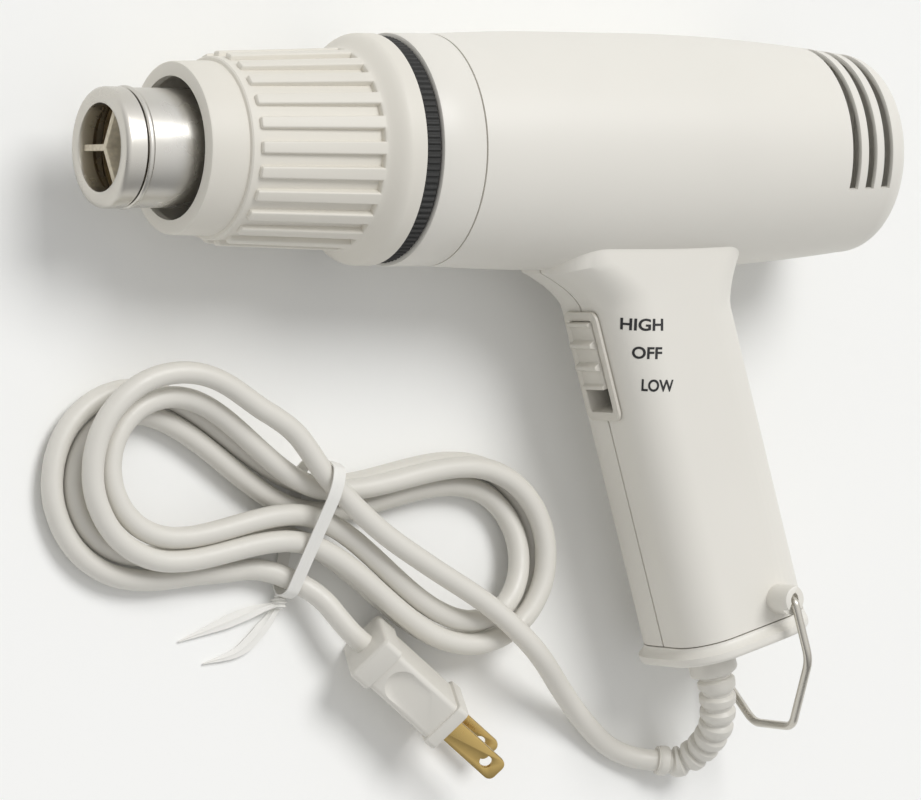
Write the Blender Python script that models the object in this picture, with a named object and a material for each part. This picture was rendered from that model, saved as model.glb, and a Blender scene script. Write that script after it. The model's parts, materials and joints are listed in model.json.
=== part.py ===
"""Pistol-grip hot air gun lying on its side, with its mains cord tied up in a hank beside it.

Lengths are written in millimetres and become metres when a mesh is made.
Gun frame: x runs back along the barrel from the nozzle's mouth, z is up through the barrel
with the handle hanging down, and the side that faces up on the table is minus y.
Table frame: x as above, y is the gun's up direction laid flat, z is height over the table.
"""
import math

import bmesh
import bpy
from mathutils import Matrix, Vector

MM = 0.001

# Fits shared by all pieces
GAP = 0.3
SCREW_GAP = 0.25
PRESS_GAP = 0.06
PARTING_GAP = 0.15

# Nozzle
NOZZLE_RADIUS = 14.6
NOZZLE_WALL = 0.8
NOZZLE_BEAD_RADIUS = 15.1
NOZZLE_BEAD_WIDTH = 1.6
MOUTH_RING_LENGTH = 5.8
MOUTH_RING_RADIUS = 14.8
MOUTH_RADIUS = 10.6
FLANGE_CLEARANCE = 2.2
FLANGE_THICKNESS = 1.3
FLANGE_SCREWS = 3
FLANGE_SCREW_INSET = 4.0
FLANGE_SEAT = 3.6

# Heating element inside the nozzle
VANE_COUNT = 3
VANE_THICKNESS = 1.6
VANE_FRONT = 1.6
VANE_LENGTH = 76.0
COIL_TURNS = 7
COIL_WIRE_RADIUS = 0.5
MICA_THICKNESS = 0.5

# Ribbed heat shroud
SHROUD_FRONT = 19.7
SHROUD_MOUTH_RADIUS = 17.6
SLEEVE_RADIUS = 21.2
SHOULDER_AT = 30.1
GROOVE_FLOOR_RADIUS = 22.5
RIB_START = 32.5
RIB_END = 66.0
RIB_FRONT_RADIUS = 23.8
RIB_REAR_RADIUS = 25.0
RIB_COUNT = 24
RIB_SHARE = 0.47
SHROUD_REAR = 75.6
SHROUD_WALL = 2.0

# Body barrel
BODY_FRONT_RADIUS = 29.0
BODY_RADIUS = 30.0
BAND_WIDTH = 4.2
BAND_SUNK = 0.8
COLLAR_LENGTH = 12.2
COLLAR_SPIGOT = 5.0
BODY_LENGTH = 132.0
BODY_WALL = 2.4
INTAKE_SLOTS = 3
INTAKE_BACK = 20.2
INTAKE_PITCH = 5.3
INTAKE_WIDTH = 2.4
INTAKE_LOW_ANGLE = -21.0
INTAKE_HIGH_ANGLE = 84.0

# Handle
HANDLE_AT = 146.5
HANDLE_RAKE = math.radians(16.2)
HANDLE_HALF_DEPTH = 19.0
HANDLE_HALF_WIDTH = 17.0
HANDLE_CORNER = 11.0
HANDLE_END = 126.0
BASE_THICKNESS = 4.7
BASE_OVERHANG = 2.0
BASE_BACK_OVERHANG = 0.3
BASE_SPIGOT = 4.0

# Switch on the front of the handle
SWITCH_AT = 51.0
SLOT_LENGTH = 24.0
SLOT_WIDTH = 10.2
SLIDER_LENGTH = 17.6
SWITCH_TRAVEL = SLOT_LENGTH - SLIDER_LENGTH - 2.0 * 0.2
BEZEL_RIM = 2.4
BEZEL_PROUD = 1.0
BEZEL_DEPTH = 5.4
RIDGE_HEIGHT = 1.6

# Motor and fan
SHAFT_RADIUS = 1.5
FAN_FRONT = 101.5
FAN_DEPTH = 12.0
FAN_TIP_GAP = 2.7
FAN_HUB_RADIUS = 7.2
FAN_BLADES = 7
FAN_BLADE_ANGLE = math.radians(52.0)
MOTOR_FRONT = 118.0
MOTOR_LENGTH = 34.0
MOTOR_RADIUS = 13.8
END_CAP_LENGTH = 7.0
BRACKET_DEPTH = 6.0

# Hanging bail and its bosses
BAIL_AT = 120.8
BAIL_BACK = 7.5
BAIL_HALF_WIDTH = 24.0
BAIL_LENGTH = 35.0
BAIL_STRAIGHT = 16.0
BAIL_FOOT_HALF_WIDTH = 8.8
BAIL_WIRE_RADIUS = 1.1
BOSS_RADIUS = 3.8
BOSS_HALF_WIDTH = 25.7
BAIL_MID_SWING = math.radians(52.0)

# Strain relief and cord
CORD_DIAMETER = 5.5
RELIEF_FORWARD = 6.0
RELIEF_COLLAR_RADIUS = 6.2
RELIEF_COLLAR_LENGTH = 6.2
RELIEF_NECK_RADIUS = 4.3
RELIEF_START_RADIUS = 5.0
RELIEF_END_RADIUS = 4.1
RELIEF_RIB_DEPTH = 0.8
RELIEF_RIBS = 9
RELIEF_DRAWN_FROM = (179.10, -133.62, 24.93)
RELIEF_ROUTE = ((180.3, -138.0, 24.2), (182.7, -147.0, 19.8), (182.6, -153.6, 12.2),
                (179.2, -156.8, 7.2), (173.6, -156.2, 5.3))
LEAD_ROUTE = ((160.0, -151.9, 2.95), (150.6, -144.1, 5.0), (141.0, -135.4, 10.0), (133.5, -128.6, 14.6),
              (126.0, -121.9, 16.5), (115.5, -113.6, 16.7), (98.5, -103.4, 16.7))
LEAD_OVER_HANK = ((16.0, -0.4, 16.7), (0.0, 8.3, 16.7), (-10.0, 16.2, 16.6))
TAIL_ROUTE = ((-9.3, -16.3, 4.0), (-0.8, -16.6, 5.1), (8.1, -19.7, 8.1))

# Hank of cord
HANK_CENTRE = (69.0, -90.0)
HANK_TILT = math.radians(-13.6)
HANK_HALF_RUN = 48.0
HANK_TOP_RUN = 41.0
HANK_LOW_RUN = 47.0
HANK_FOLD_RADIUS = 16.5
HANK_LEFT_RADIUS = 14.4
HANK_WAIST = 0.3
HANK_STEP = 6.85
HANK_LAYER_STEP = 6.2
HANK_LOWEST = 3.95
HANK_START_TURN = 0.35
HANK_END_TURN = 3.655
HANK_REVERSE_TURN = 2.0
HANK_POINTS_PER_TURN = 24
HANK_FAN = math.radians(1.4)
HANK_DROP_TURNS = 0.10
HANK_FIRST_DROP_END = 0.60

# Tie round the hank
TIE_WIDTH = 2.6
TIE_THICKNESS = 0.6
TIE_LOOP = ((-18.5, 0.05), (10.6, 0.05), (13.4, 3.0), (13.4, 16.6), (11.8, 20.4), (8.2, 21.2), (4.2, 20.4),
            (-8.0, 14.5), (-20.4, 8.4), (-21.6, 6.0), (-21.6, 3.0))
TIE_TAILS = ((-29.0, -34.0), (-21.0, -38.0))

# Plug
PLUG_LENGTH = 30.0
PLUG_HALF_WIDTH = 9.4
PLUG_HALF_HEIGHT = 6.6
PLUG_STEP = 0.9
PLUG_BLOCK_LENGTH = 6.0
PLUG_FLANGE_LENGTH = 3.4
PLUG_CORNER = 1.5
PLUG_SCOOP_RADIUS = 4.4
PLUG_SCOOP_DEPTH = 1.5
PLUG_SCOOP_SLOPE = math.radians(8.0)
PLUG_ROLL = math.radians(121.0)
PLUG_HEADING = math.radians(-41.0)
PLUG_NOSE_UP = math.radians(4.0)
PLUG_ENTRY = (21.6, -28.8, 10.75)
BLADE_LENGTH = 17.5
BLADE_WIDTH = 6.35
BLADE_THICKNESS = 1.5
BLADE_SPREAD = 12.7
BLADE_HOLE_RADIUS = 1.6
BLADE_ROOT = 6.0

# Screws that hold the two halves together: place along the barrel and height
BODY_SCREWS = ((136.0, -20.5), (189.0, 14.5), (189.0, -14.5))
HANDLE_SCREW = (96.0, 8.5)
POST_RADIUS = 4.4
SCREW_RADIUS = 1.5
SCREW_HEAD_RADIUS = 2.8
SCREW_HEAD_HEIGHT = 2.2
SCREW_SEAT = 7.0
SCREW_REACH = 7.0

# Cord clamp inside the handle
CLAMP_AT = 111.0
CLAMP_LENGTH = 6.0
CLAMP_THICKNESS = 3.0
CLAMP_SCREW_SPREAD = 6.3
CLAMP_SCREW_RADIUS = 1.1

# Where one piece ends and the next begins
BAND_FRONT = SHROUD_REAR + GAP
BAND_REAR = BAND_FRONT + BAND_WIDTH
COLLAR_FRONT = BAND_REAR + GAP
COLLAR_REAR = COLLAR_FRONT + COLLAR_LENGTH
COLLAR_BORE = BODY_FRONT_RADIUS - BODY_WALL
NOZZLE_LENGTH = COLLAR_FRONT + FLANGE_SEAT
FLANGE_RADIUS = COLLAR_BORE - FLANGE_CLEARANCE
FLANGE_SCREW_CIRCLE = FLANGE_RADIUS - FLANGE_SCREW_INSET
FAN_RADIUS = min(BODY_FRONT_RADIUS, BODY_RADIUS) - BODY_WALL - FAN_TIP_GAP
BODY_FRONT = COLLAR_REAR + GAP
BODY_REAR = BODY_FRONT + BODY_LENGTH
BASE_TOP = HANDLE_END + GAP
BASE_BOTTOM = BASE_TOP + BASE_THICKNESS
CORD_RADIUS = CORD_DIAMETER / 2.0

HANDLE_FRAME = Matrix.Translation((HANDLE_AT, 0.0, 0.0)) @ Matrix.Rotation(-HANDLE_RAKE, 4, "Y")
BAIL_PIVOT = HANDLE_FRAME @ Vector((BAIL_BACK, 0.0, -BAIL_AT))

COLOURS = {
    "cream_plastic": ((0.78, 0.76, 0.71), 0.45, 0.0),
    "shroud_plastic": ((0.74, 0.72, 0.67), 0.5, 0.0),
    "switch_plastic": ((0.66, 0.65, 0.61), 0.45, 0.0),
    "black_plastic": ((0.03, 0.03, 0.032), 0.5, 0.0),
    "rubber_grey": ((0.10, 0.10, 0.10), 0.75, 0.0),
    "cord_grey": ((0.62, 0.61, 0.58), 0.55, 0.0),
    "bright_steel": ((0.62, 0.62, 0.63), 0.28, 1.0),
    "nickel": ((0.72, 0.70, 0.66), 0.25, 1.0),
    "mica": ((0.62, 0.55, 0.44), 0.6, 0.0),
    "resistance_wire": ((0.38, 0.34, 0.31), 0.45, 1.0),
    "motor_steel": ((0.50, 0.51, 0.53), 0.35, 1.0),
    "brass": ((0.75, 0.58, 0.28), 0.3, 1.0),
    "red_wire": ((0.55, 0.06, 0.05), 0.5, 0.0),
    "blue_wire": ((0.06, 0.13, 0.45), 0.5, 0.0),
    "tie_paper": ((0.85, 0.84, 0.80), 0.7, 0.0),
}


def clear_scene():
    for old in list(bpy.data.objects):
        bpy.data.objects.remove(old, do_unlink=True)


def material(name):
    found = bpy.data.materials.get(name)
    if found:
        return found
    colour, roughness, metallic = COLOURS[name]
    made = bpy.data.materials.new(name)
    made.use_nodes = True
    shader = made.node_tree.nodes["Principled BSDF"]
    shader.inputs["Base Color"].default_value = (*colour, 1.0)
    shader.inputs["Roughness"].default_value = roughness
    shader.inputs["Metallic"].default_value = metallic
    return made


def from_faces(name, verts, faces):
    """A closed mesh object from millimetre corners, with its faces turned outwards."""
    mesh = bpy.data.meshes.new(name)
    mesh.from_pydata([Vector(v) * MM for v in verts], [], faces)
    work = bmesh.new()
    work.from_mesh(mesh)
    bmesh.ops.recalc_face_normals(work, faces=work.faces[:])
    work.to_mesh(mesh)
    work.free()
    made = bpy.data.objects.new(name, mesh)
    bpy.context.scene.collection.objects.link(made)
    return made


def revolve(name, loop, sides):
    """Turn a closed loop of (x, radius) about the barrel's axis; radius 0 is a pole."""
    verts = []
    rows = []
    for x, radius in loop:
        if radius < 1e-6:
            rows.append([len(verts)] * sides)
            verts.append((x, 0.0, 0.0))
            continue
        rows.append(range(len(verts), len(verts) + sides))
        for step in range(sides):
            angle = math.tau * step / sides
            verts.append((x, radius * math.cos(angle), radius * math.sin(angle)))
    faces = []
    for row, after in zip(rows, rows[1:] + rows[:1]):
        for step in range(sides):
            turn = (step + 1) % sides
            corners = []
            for corner in (row[step], row[turn], after[turn], after[step]):
                if corner not in corners:
                    corners.append(corner)
            if len(corners) > 2:
                faces.append(corners)
    return from_faces(name, verts, faces)


def loft(name, rings):
    """Skin equal rings of corners one after another and cap both ends."""
    count = len(rings[0])
    verts = [corner for ring in rings for corner in ring]
    faces = [list(range(count)), list(range(len(verts) - count, len(verts)))]
    for ring in range(len(rings) - 1):
        for step in range(count):
            turn = (step + 1) % count
            low = ring * count
            high = low + count
            faces.append([low + step, low + turn, high + turn, high + step])
    return from_faces(name, verts, faces)


def ring_across(centre, along, radius, sides, upright=None):
    """Corners of a circle square to a direction."""
    along = Vector(along).normalized()
    side = Vector(upright) if upright else along.orthogonal()
    side = (side - along * side.dot(along)).normalized()
    other = along.cross(side)
    corners = []
    for step in range(sides):
        angle = math.tau * step / sides
        corners.append(Vector(centre) + (side * math.cos(angle) + other * math.sin(angle)) * radius)
    return corners


def rod(name, start, end, radius, sides=16, end_radius=None):
    start = Vector(start)
    end = Vector(end)
    along = end - start
    last = radius if end_radius is None else end_radius
    return loft(name, [ring_across(start, along, radius, sides), ring_across(end, along, last, sides)])


def block(name, low, high):
    (x0, y0, z0), (x1, y1, z1) = low, high
    bottom = [(x0, y0, z0), (x1, y0, z0), (x1, y1, z0), (x0, y1, z0)]
    top = [(x, y, z1) for x, y, _ in bottom]
    return loft(name, [bottom, top])


def rounded_outline(half_x_front, half_x_back, half_y, corner, steps):
    """Corners of a rectangle with rounded corners in the x-y plane."""
    corners = []
    quarters = ((half_x_back - corner, half_y - corner, 0.0), (corner - half_x_front, half_y - corner, 90.0),
                (corner - half_x_front, corner - half_y, 180.0), (half_x_back - corner, corner - half_y, 270.0))
    for cx, cy, start in quarters:
        for step in range(steps + 1):
            angle = math.radians(start + 90.0 * step / steps)
            corners.append((cx + corner * math.cos(angle), cy + corner * math.sin(angle)))
    return corners


def plate(name, outline, z0, z1):
    return loft(name, [[(x, y, z0) for x, y in outline], [(x, y, z1) for x, y in outline]])


def moved(made, matrix):
    """Move a mesh by a matrix whose shift is in millimetres."""
    scaled = matrix.copy()
    scaled.translation = matrix.translation * MM
    made.data.transform(scaled)
    return made


def triangles(made):
    """Split twisted faces, so that every face is flat."""
    work = bmesh.new()
    work.from_mesh(made.data)
    bmesh.ops.triangulate(work, faces=work.faces)
    work.to_mesh(made.data)
    work.free()
    return made


def in_handle(made):
    return moved(made, HANDLE_FRAME)


def gathered(name, pieces):
    """One object holding several meshes that don't touch, to cut with them all at once."""
    work = bmesh.new()
    for piece in pieces:
        work.from_mesh(piece.data)
        bpy.data.objects.remove(piece, do_unlink=True)
    mesh = bpy.data.meshes.new(name)
    work.to_mesh(mesh)
    work.free()
    made = bpy.data.objects.new(name, mesh)
    bpy.context.scene.collection.objects.link(made)
    return made


def copied(made):
    twin = bpy.data.objects.new(made.name + "_copy", made.data.copy())
    bpy.context.scene.collection.objects.link(twin)
    return twin


def combine(base, tool, operation, keep_tool=False):
    """Boolean of two objects, kept in the first."""
    step = base.modifiers.new("combine", "BOOLEAN")
    step.operation = operation
    step.solver = "EXACT"
    step.object = tool
    bpy.context.view_layer.update()
    shape = bpy.data.meshes.new_from_object(base.evaluated_get(bpy.context.evaluated_depsgraph_get()))
    base.modifiers.clear()
    work = bmesh.new()
    work.from_mesh(shape)
    bmesh.ops.remove_doubles(work, verts=work.verts[:], dist=2e-7)
    bmesh.ops.dissolve_degenerate(work, edges=work.edges[:], dist=2e-7)
    work.to_mesh(shape)
    work.free()
    old = base.data
    base.data = shape
    bpy.data.meshes.remove(old)
    if not keep_tool:
        bpy.data.objects.remove(tool, do_unlink=True)
    return base


def cut(base, tool, keep_tool=False):
    return combine(base, tool, "DIFFERENCE", keep_tool)


def fuse(base, tool):
    return combine(base, tool, "UNION")


def finish(made, name, colour, parent, smooth=32.0, origin=None):
    """Name, colour, shade and hang a piece from its frame; the origin is in that frame."""
    made.name = name
    made.data.name = name
    made.data.materials.clear()
    made.data.materials.append(material(colour))
    if origin is not None:
        made.data.transform(Matrix.Translation(-Vector(origin) * MM))
        made.location = Vector(origin) * MM
    made.data.shade_smooth()
    made.data.set_sharp_from_angle(angle=math.radians(smooth))
    made.parent = parent
    return made


def smooth_route(route, spacing):
    """Points a steady step apart on a smooth curve through hand-chosen places."""
    places = [Vector(p) for p in route]
    places = [places[0] * 2 - places[1]] + places + [places[-1] * 2 - places[-2]]
    fine = []
    for a, b, c, d in zip(places, places[1:], places[2:], places[3:]):
        for step in range(24):
            t = step / 24.0
            fine.append(0.5 * (2 * b + (c - a) * t + (2 * a - 5 * b + 4 * c - d) * t * t
                               + (3 * b - a - 3 * c + d) * t ** 3))
    fine.append(places[-2])
    total = sum((q - p).length for p, q in zip(fine, fine[1:]))
    count = max(2, round(total / spacing))
    out = [fine[0]]
    walked = 0.0
    for p, q in zip(fine, fine[1:]):
        length = (q - p).length
        while len(out) < count and walked + length >= len(out) * total / count:
            share = (len(out) * total / count - walked) / length
            out.append(p.lerp(q, share))
        walked += length
    out.append(fine[-1])
    return out


def tube(name, points, radius, resolution, colour, parent, origin=None):
    """A round tube on straight stretches between points, closed at both ends."""
    shift = Vector(origin) if origin is not None else Vector()
    curve = bpy.data.curves.new(name, "CURVE")
    curve.dimensions = "3D"
    curve.bevel_depth = radius * MM
    curve.bevel_resolution = resolution
    curve.use_fill_caps = True
    line = curve.splines.new("POLY")
    line.points.add(len(points) - 1)
    for place, point in zip(line.points, points):
        place.co = (*((Vector(point) - shift) * MM), 1.0)
    made = bpy.data.objects.new(name, curve)
    bpy.context.scene.collection.objects.link(made)
    made.location = shift * MM
    curve.materials.append(material(colour))
    made.parent = parent
    return made


def sweep(name, points, radii, sides):
    """Rings of given radius along a route, kept from twisting, with both ends capped."""
    places = [Vector(p) for p in points]
    rings = []
    upright = Vector((0.0, 0.0, 1.0))
    distinct = []
    for place in places:
        if not distinct or (place - distinct[-1]).length > 1e-6:
            distinct.append(place)
    for place, radius in zip(places, radii):
        at = min(range(len(distinct)), key=lambda i: (distinct[i] - place).length)
        along = distinct[min(at + 1, len(distinct) - 1)] - distinct[max(at - 1, 0)]
        side = upright - along.normalized() * upright.dot(along.normalized())
        if side.length < 0.2:
            side = along.orthogonal()
        upright = side.normalized()
        rings.append(ring_across(place, along, radius, sides, upright))
    return loft(name, rings)


def inset_profile(profile, inset):
    """Move an open (x, radius) profile towards the axis by an even distance."""
    out = []
    for i, (x, radius) in enumerate(profile):
        before = Vector(profile[max(i - 1, 0)])
        after = Vector(profile[min(i + 1, len(profile) - 1)])
        along = (after - before).normalized()
        if radius < 1e-6:
            out.append((x - inset, 0.0))
        else:
            out.append((x + along.y * inset, radius - along.x * inset))
    return out


def barrel_profile():
    back = BODY_REAR
    rise = BODY_RADIUS - BODY_FRONT_RADIUS

    def spot(share, radius):
        return (BODY_FRONT + share * BODY_LENGTH, radius)

    return (spot(0.0, BODY_FRONT_RADIUS), spot(0.106, BODY_FRONT_RADIUS + 0.65 * rise), spot(0.19, BODY_RADIUS),
            spot(0.432, BODY_RADIUS), spot(0.576, BODY_RADIUS - 0.45), spot(0.727, BODY_RADIUS - 1.55),
            (back - 20.0, BODY_RADIUS - 2.9), (back - 9.0, BODY_RADIUS - 4.3), (back - 4.6, BODY_RADIUS - 5.6),
            (back - 2.2, BODY_RADIUS - 8.0), (back - 0.7, BODY_RADIUS - 12.0), (back, 0.0))


def barrel_radius(x):
    """The barrel's outer radius at a place along it."""
    profile = barrel_profile()
    for (x0, r0), (x1, r1) in zip(profile, profile[1:]):
        if x0 <= x <= x1:
            return r0 + (r1 - r0) * (x - x0) / (x1 - x0)
    return BODY_FRONT_RADIUS


def barrel_solid(inset, front):
    """The barrel's shape drawn in by an inset, starting at a given front."""
    profile = inset_profile(barrel_profile(), inset)
    first = profile[0]
    loop = [(front, 0.0), (front, first[1])]
    if front < first[0] - 0.01:
        loop.append(first)
    return revolve("barrel", loop + profile[1:], 40)


def handle_solid(inset, end):
    """The handle's shape drawn in by an inset, flared where it runs into the barrel."""
    rings = []
    for along, front, back in ((8.0, 9.0, 7.0), (24.0, 9.0, 7.0), (27.0, 6.0, 4.6), (30.0, 3.3, 2.6),
                               (33.0, 1.2, 1.0), (36.0, 0.0, 0.0), (end, 0.0, 0.0)):
        outline = rounded_outline(HANDLE_HALF_DEPTH + front - inset, HANDLE_HALF_DEPTH + back - inset,
                                  HANDLE_HALF_WIDTH - inset, HANDLE_CORNER - inset, 5)
        rings.append([(x, y, -along) for x, y in outline])
    return in_handle(loft("handle", rings))


def body_solid(inset, front, end):
    return fuse(barrel_solid(inset, front), handle_solid(inset, end))


def arc_cutter(at, width, inner, outer, low, high):
    """A curved bar round the barrel between two angles, on the side of minus y."""
    rings = []
    steps = 10
    for step in range(steps + 1):
        angle = math.radians(low + (high - low) * step / steps)
        spot = Vector((0.0, -math.cos(angle), math.sin(angle)))
        rings.append([Vector((at - width / 2, 0, 0)) + spot * inner, Vector((at + width / 2, 0, 0)) + spot * inner,
                      Vector((at + width / 2, 0, 0)) + spot * outer, Vector((at - width / 2, 0, 0)) + spot * outer])
    return loft("arc", rings)


def mirrored(made):
    """The same mesh on the other side of the parting plane."""
    made.data.transform(Matrix.Diagonal((1.0, -1.0, 1.0, 1.0)))
    made.data.flip_normals()
    return made


def screw_places():
    places = [Vector((x, 0.0, z)) for x, z in BODY_SCREWS]
    places.append(HANDLE_FRAME @ Vector((HANDLE_SCREW[1], 0.0, -HANDLE_SCREW[0])))
    return places


def at_side(place, y):
    return Vector((place.x, y, place.z))


def make_housing(gun):
    shell = body_solid(0.0, BODY_FRONT, HANDLE_END)
    cut(shell, body_solid(BODY_WALL, BODY_FRONT - 8.0, HANDLE_END + 8.0))
    slots = []
    for slot in range(INTAKE_SLOTS):
        at = BODY_REAR - INTAKE_BACK + slot * INTAKE_PITCH
        for flip in (False, True):
            bar = arc_cutter(at, INTAKE_WIDTH, BODY_RADIUS - 12.0, BODY_RADIUS + 3.0,
                             INTAKE_LOW_ANGLE, INTAKE_HIGH_ANGLE)
            slots.append(mirrored(bar) if flip else bar)
    cut(shell, gathered("slots", slots))
    half_slot = SLOT_LENGTH / 2 + BEZEL_RIM / 2 + GAP
    half_width = SLOT_WIDTH / 2 + BEZEL_RIM / 2 + GAP
    window = block("window", (-HANDLE_HALF_DEPTH - 5.0, -half_width, -SWITCH_AT - half_slot),
                   (-HANDLE_HALF_DEPTH + BODY_WALL + 3.0, half_width, -SWITCH_AT + half_slot))
    cut(shell, in_handle(window))

    core = body_solid(BODY_WALL / 2, BODY_FRONT + 2.0, HANDLE_END - 2.0)
    far = 60.0
    for side, name in ((-1.0, "housing_left"), (1.0, "housing_right")):
        half = copied(shell)
        low, high = sorted((side * PARTING_GAP, side * far))
        combine(half, block("keep", (0.0, low, -200.0), (300.0, high, 100.0)), "INTERSECT")
        posts = [rod("post", at_side(p, side * PARTING_GAP), at_side(p, side * far), POST_RADIUS)
                 for p in screw_places()]
        if side > 0:
            posts += [rod("post", clamp_place(spot, GAP - CORD_RADIUS), clamp_place(spot, far), 2.5, 12)
                      for spot in (-1, 1)]
        fuse(half, combine(gathered("posts", posts), core, "INTERSECT", keep_tool=True))
        fuse(half, boss(side))
        holes = [bail_hole(side)]
        for place in screw_places():
            if side > 0:
                holes.append(screw_hole(place, far))
            else:
                holes.append(rod("hole", at_side(place, 1.0), at_side(place, -SCREW_REACH - 1.5),
                                 SCREW_RADIUS + SCREW_GAP, 12))
        if side > 0:
            holes += [rod("hole", clamp_place(spot, -CORD_RADIUS - 2.0), clamp_place(spot, 8.0),
                          CLAMP_SCREW_RADIUS + SCREW_GAP, 10) for spot in (-1, 1)]
        cut(half, gathered("holes", holes))
        cut(half, boss_notch(side))
        finish(half, name, "cream_plastic", gun, 30.0)
    bpy.data.objects.remove(core, do_unlink=True)
    bpy.data.objects.remove(shell, do_unlink=True)


def screw_hole(place, far):
    """A stepped hole for a screw and its sunk head, as one closed cutter."""
    narrow = SCREW_RADIUS + SCREW_GAP
    wide = SCREW_HEAD_RADIUS + SCREW_GAP
    along = (0.0, 1.0, 0.0)
    upright = (1.0, 0.0, 0.0)
    rings = [ring_across(at_side(place, y), along, radius, 12, upright)
             for y, radius in ((-1.0, narrow), (SCREW_SEAT, narrow), (SCREW_SEAT, wide), (far, wide))]
    return loft("hole", rings)


def make_screws(gun):
    for number, place in enumerate(screw_places(), 1):
        rings = []
        for y, radius in ((-SCREW_REACH, SCREW_RADIUS * 0.5), (-SCREW_REACH + 1.2, SCREW_RADIUS),
                          (SCREW_SEAT + GAP, SCREW_RADIUS), (SCREW_SEAT + GAP, SCREW_HEAD_RADIUS),
                          (SCREW_SEAT + GAP + SCREW_HEAD_HEIGHT, SCREW_HEAD_RADIUS)):
            rings.append(ring_across(at_side(place, y), (0, 1, 0), radius, 12, (1, 0, 0)))
        finish(loft("screw", rings), f"housing_screw_{number}", "bright_steel", gun)


def boss(side):
    """A cup on the handle's side for one end of the bail."""
    start = side * (HANDLE_HALF_WIDTH - BODY_WALL * 0.6)
    rings = [ring_across(at_side(BAIL_PIVOT, y), (0, 1, 0), radius, 20, (1, 0, 0))
             for y, radius in ((start, BOSS_RADIUS), (side * BOSS_HALF_WIDTH, BOSS_RADIUS))]
    return loft("boss", rings)


def bail_hole(side):
    pin = BAIL_WIRE_RADIUS + GAP
    elbow = BAIL_WIRE_RADIUS + 1.1
    floor = BAIL_HALF_WIDTH - BAIL_WIRE_RADIUS - 1.6
    rings = [ring_across(at_side(BAIL_PIVOT, side * y), (0, side, 0), radius, 12, (1, 0, 0))
             for y, radius in ((HANDLE_HALF_WIDTH + 1.0, pin), (floor, pin), (floor, elbow),
                               (BOSS_HALF_WIDTH + 1.0, elbow))]
    return loft("hole", rings)


def boss_notch(side):
    """The open side of the cup, where the bail's leg swings between its stops."""
    floor = BAIL_HALF_WIDTH - BAIL_WIRE_RADIUS - GAP
    low, high = sorted((side * floor, side * (BOSS_HALF_WIDTH + 2.0)))
    notch = block("notch", (-BOSS_RADIUS - 2.0, low, -BOSS_RADIUS - 2.0),
                  (BOSS_RADIUS + 2.0, high, BAIL_WIRE_RADIUS + 0.5))
    turn = Matrix.Translation(BAIL_PIVOT) @ Matrix.Rotation(-HANDLE_RAKE - BAIL_MID_SWING, 4, "Y")
    return moved(notch, turn)


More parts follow.
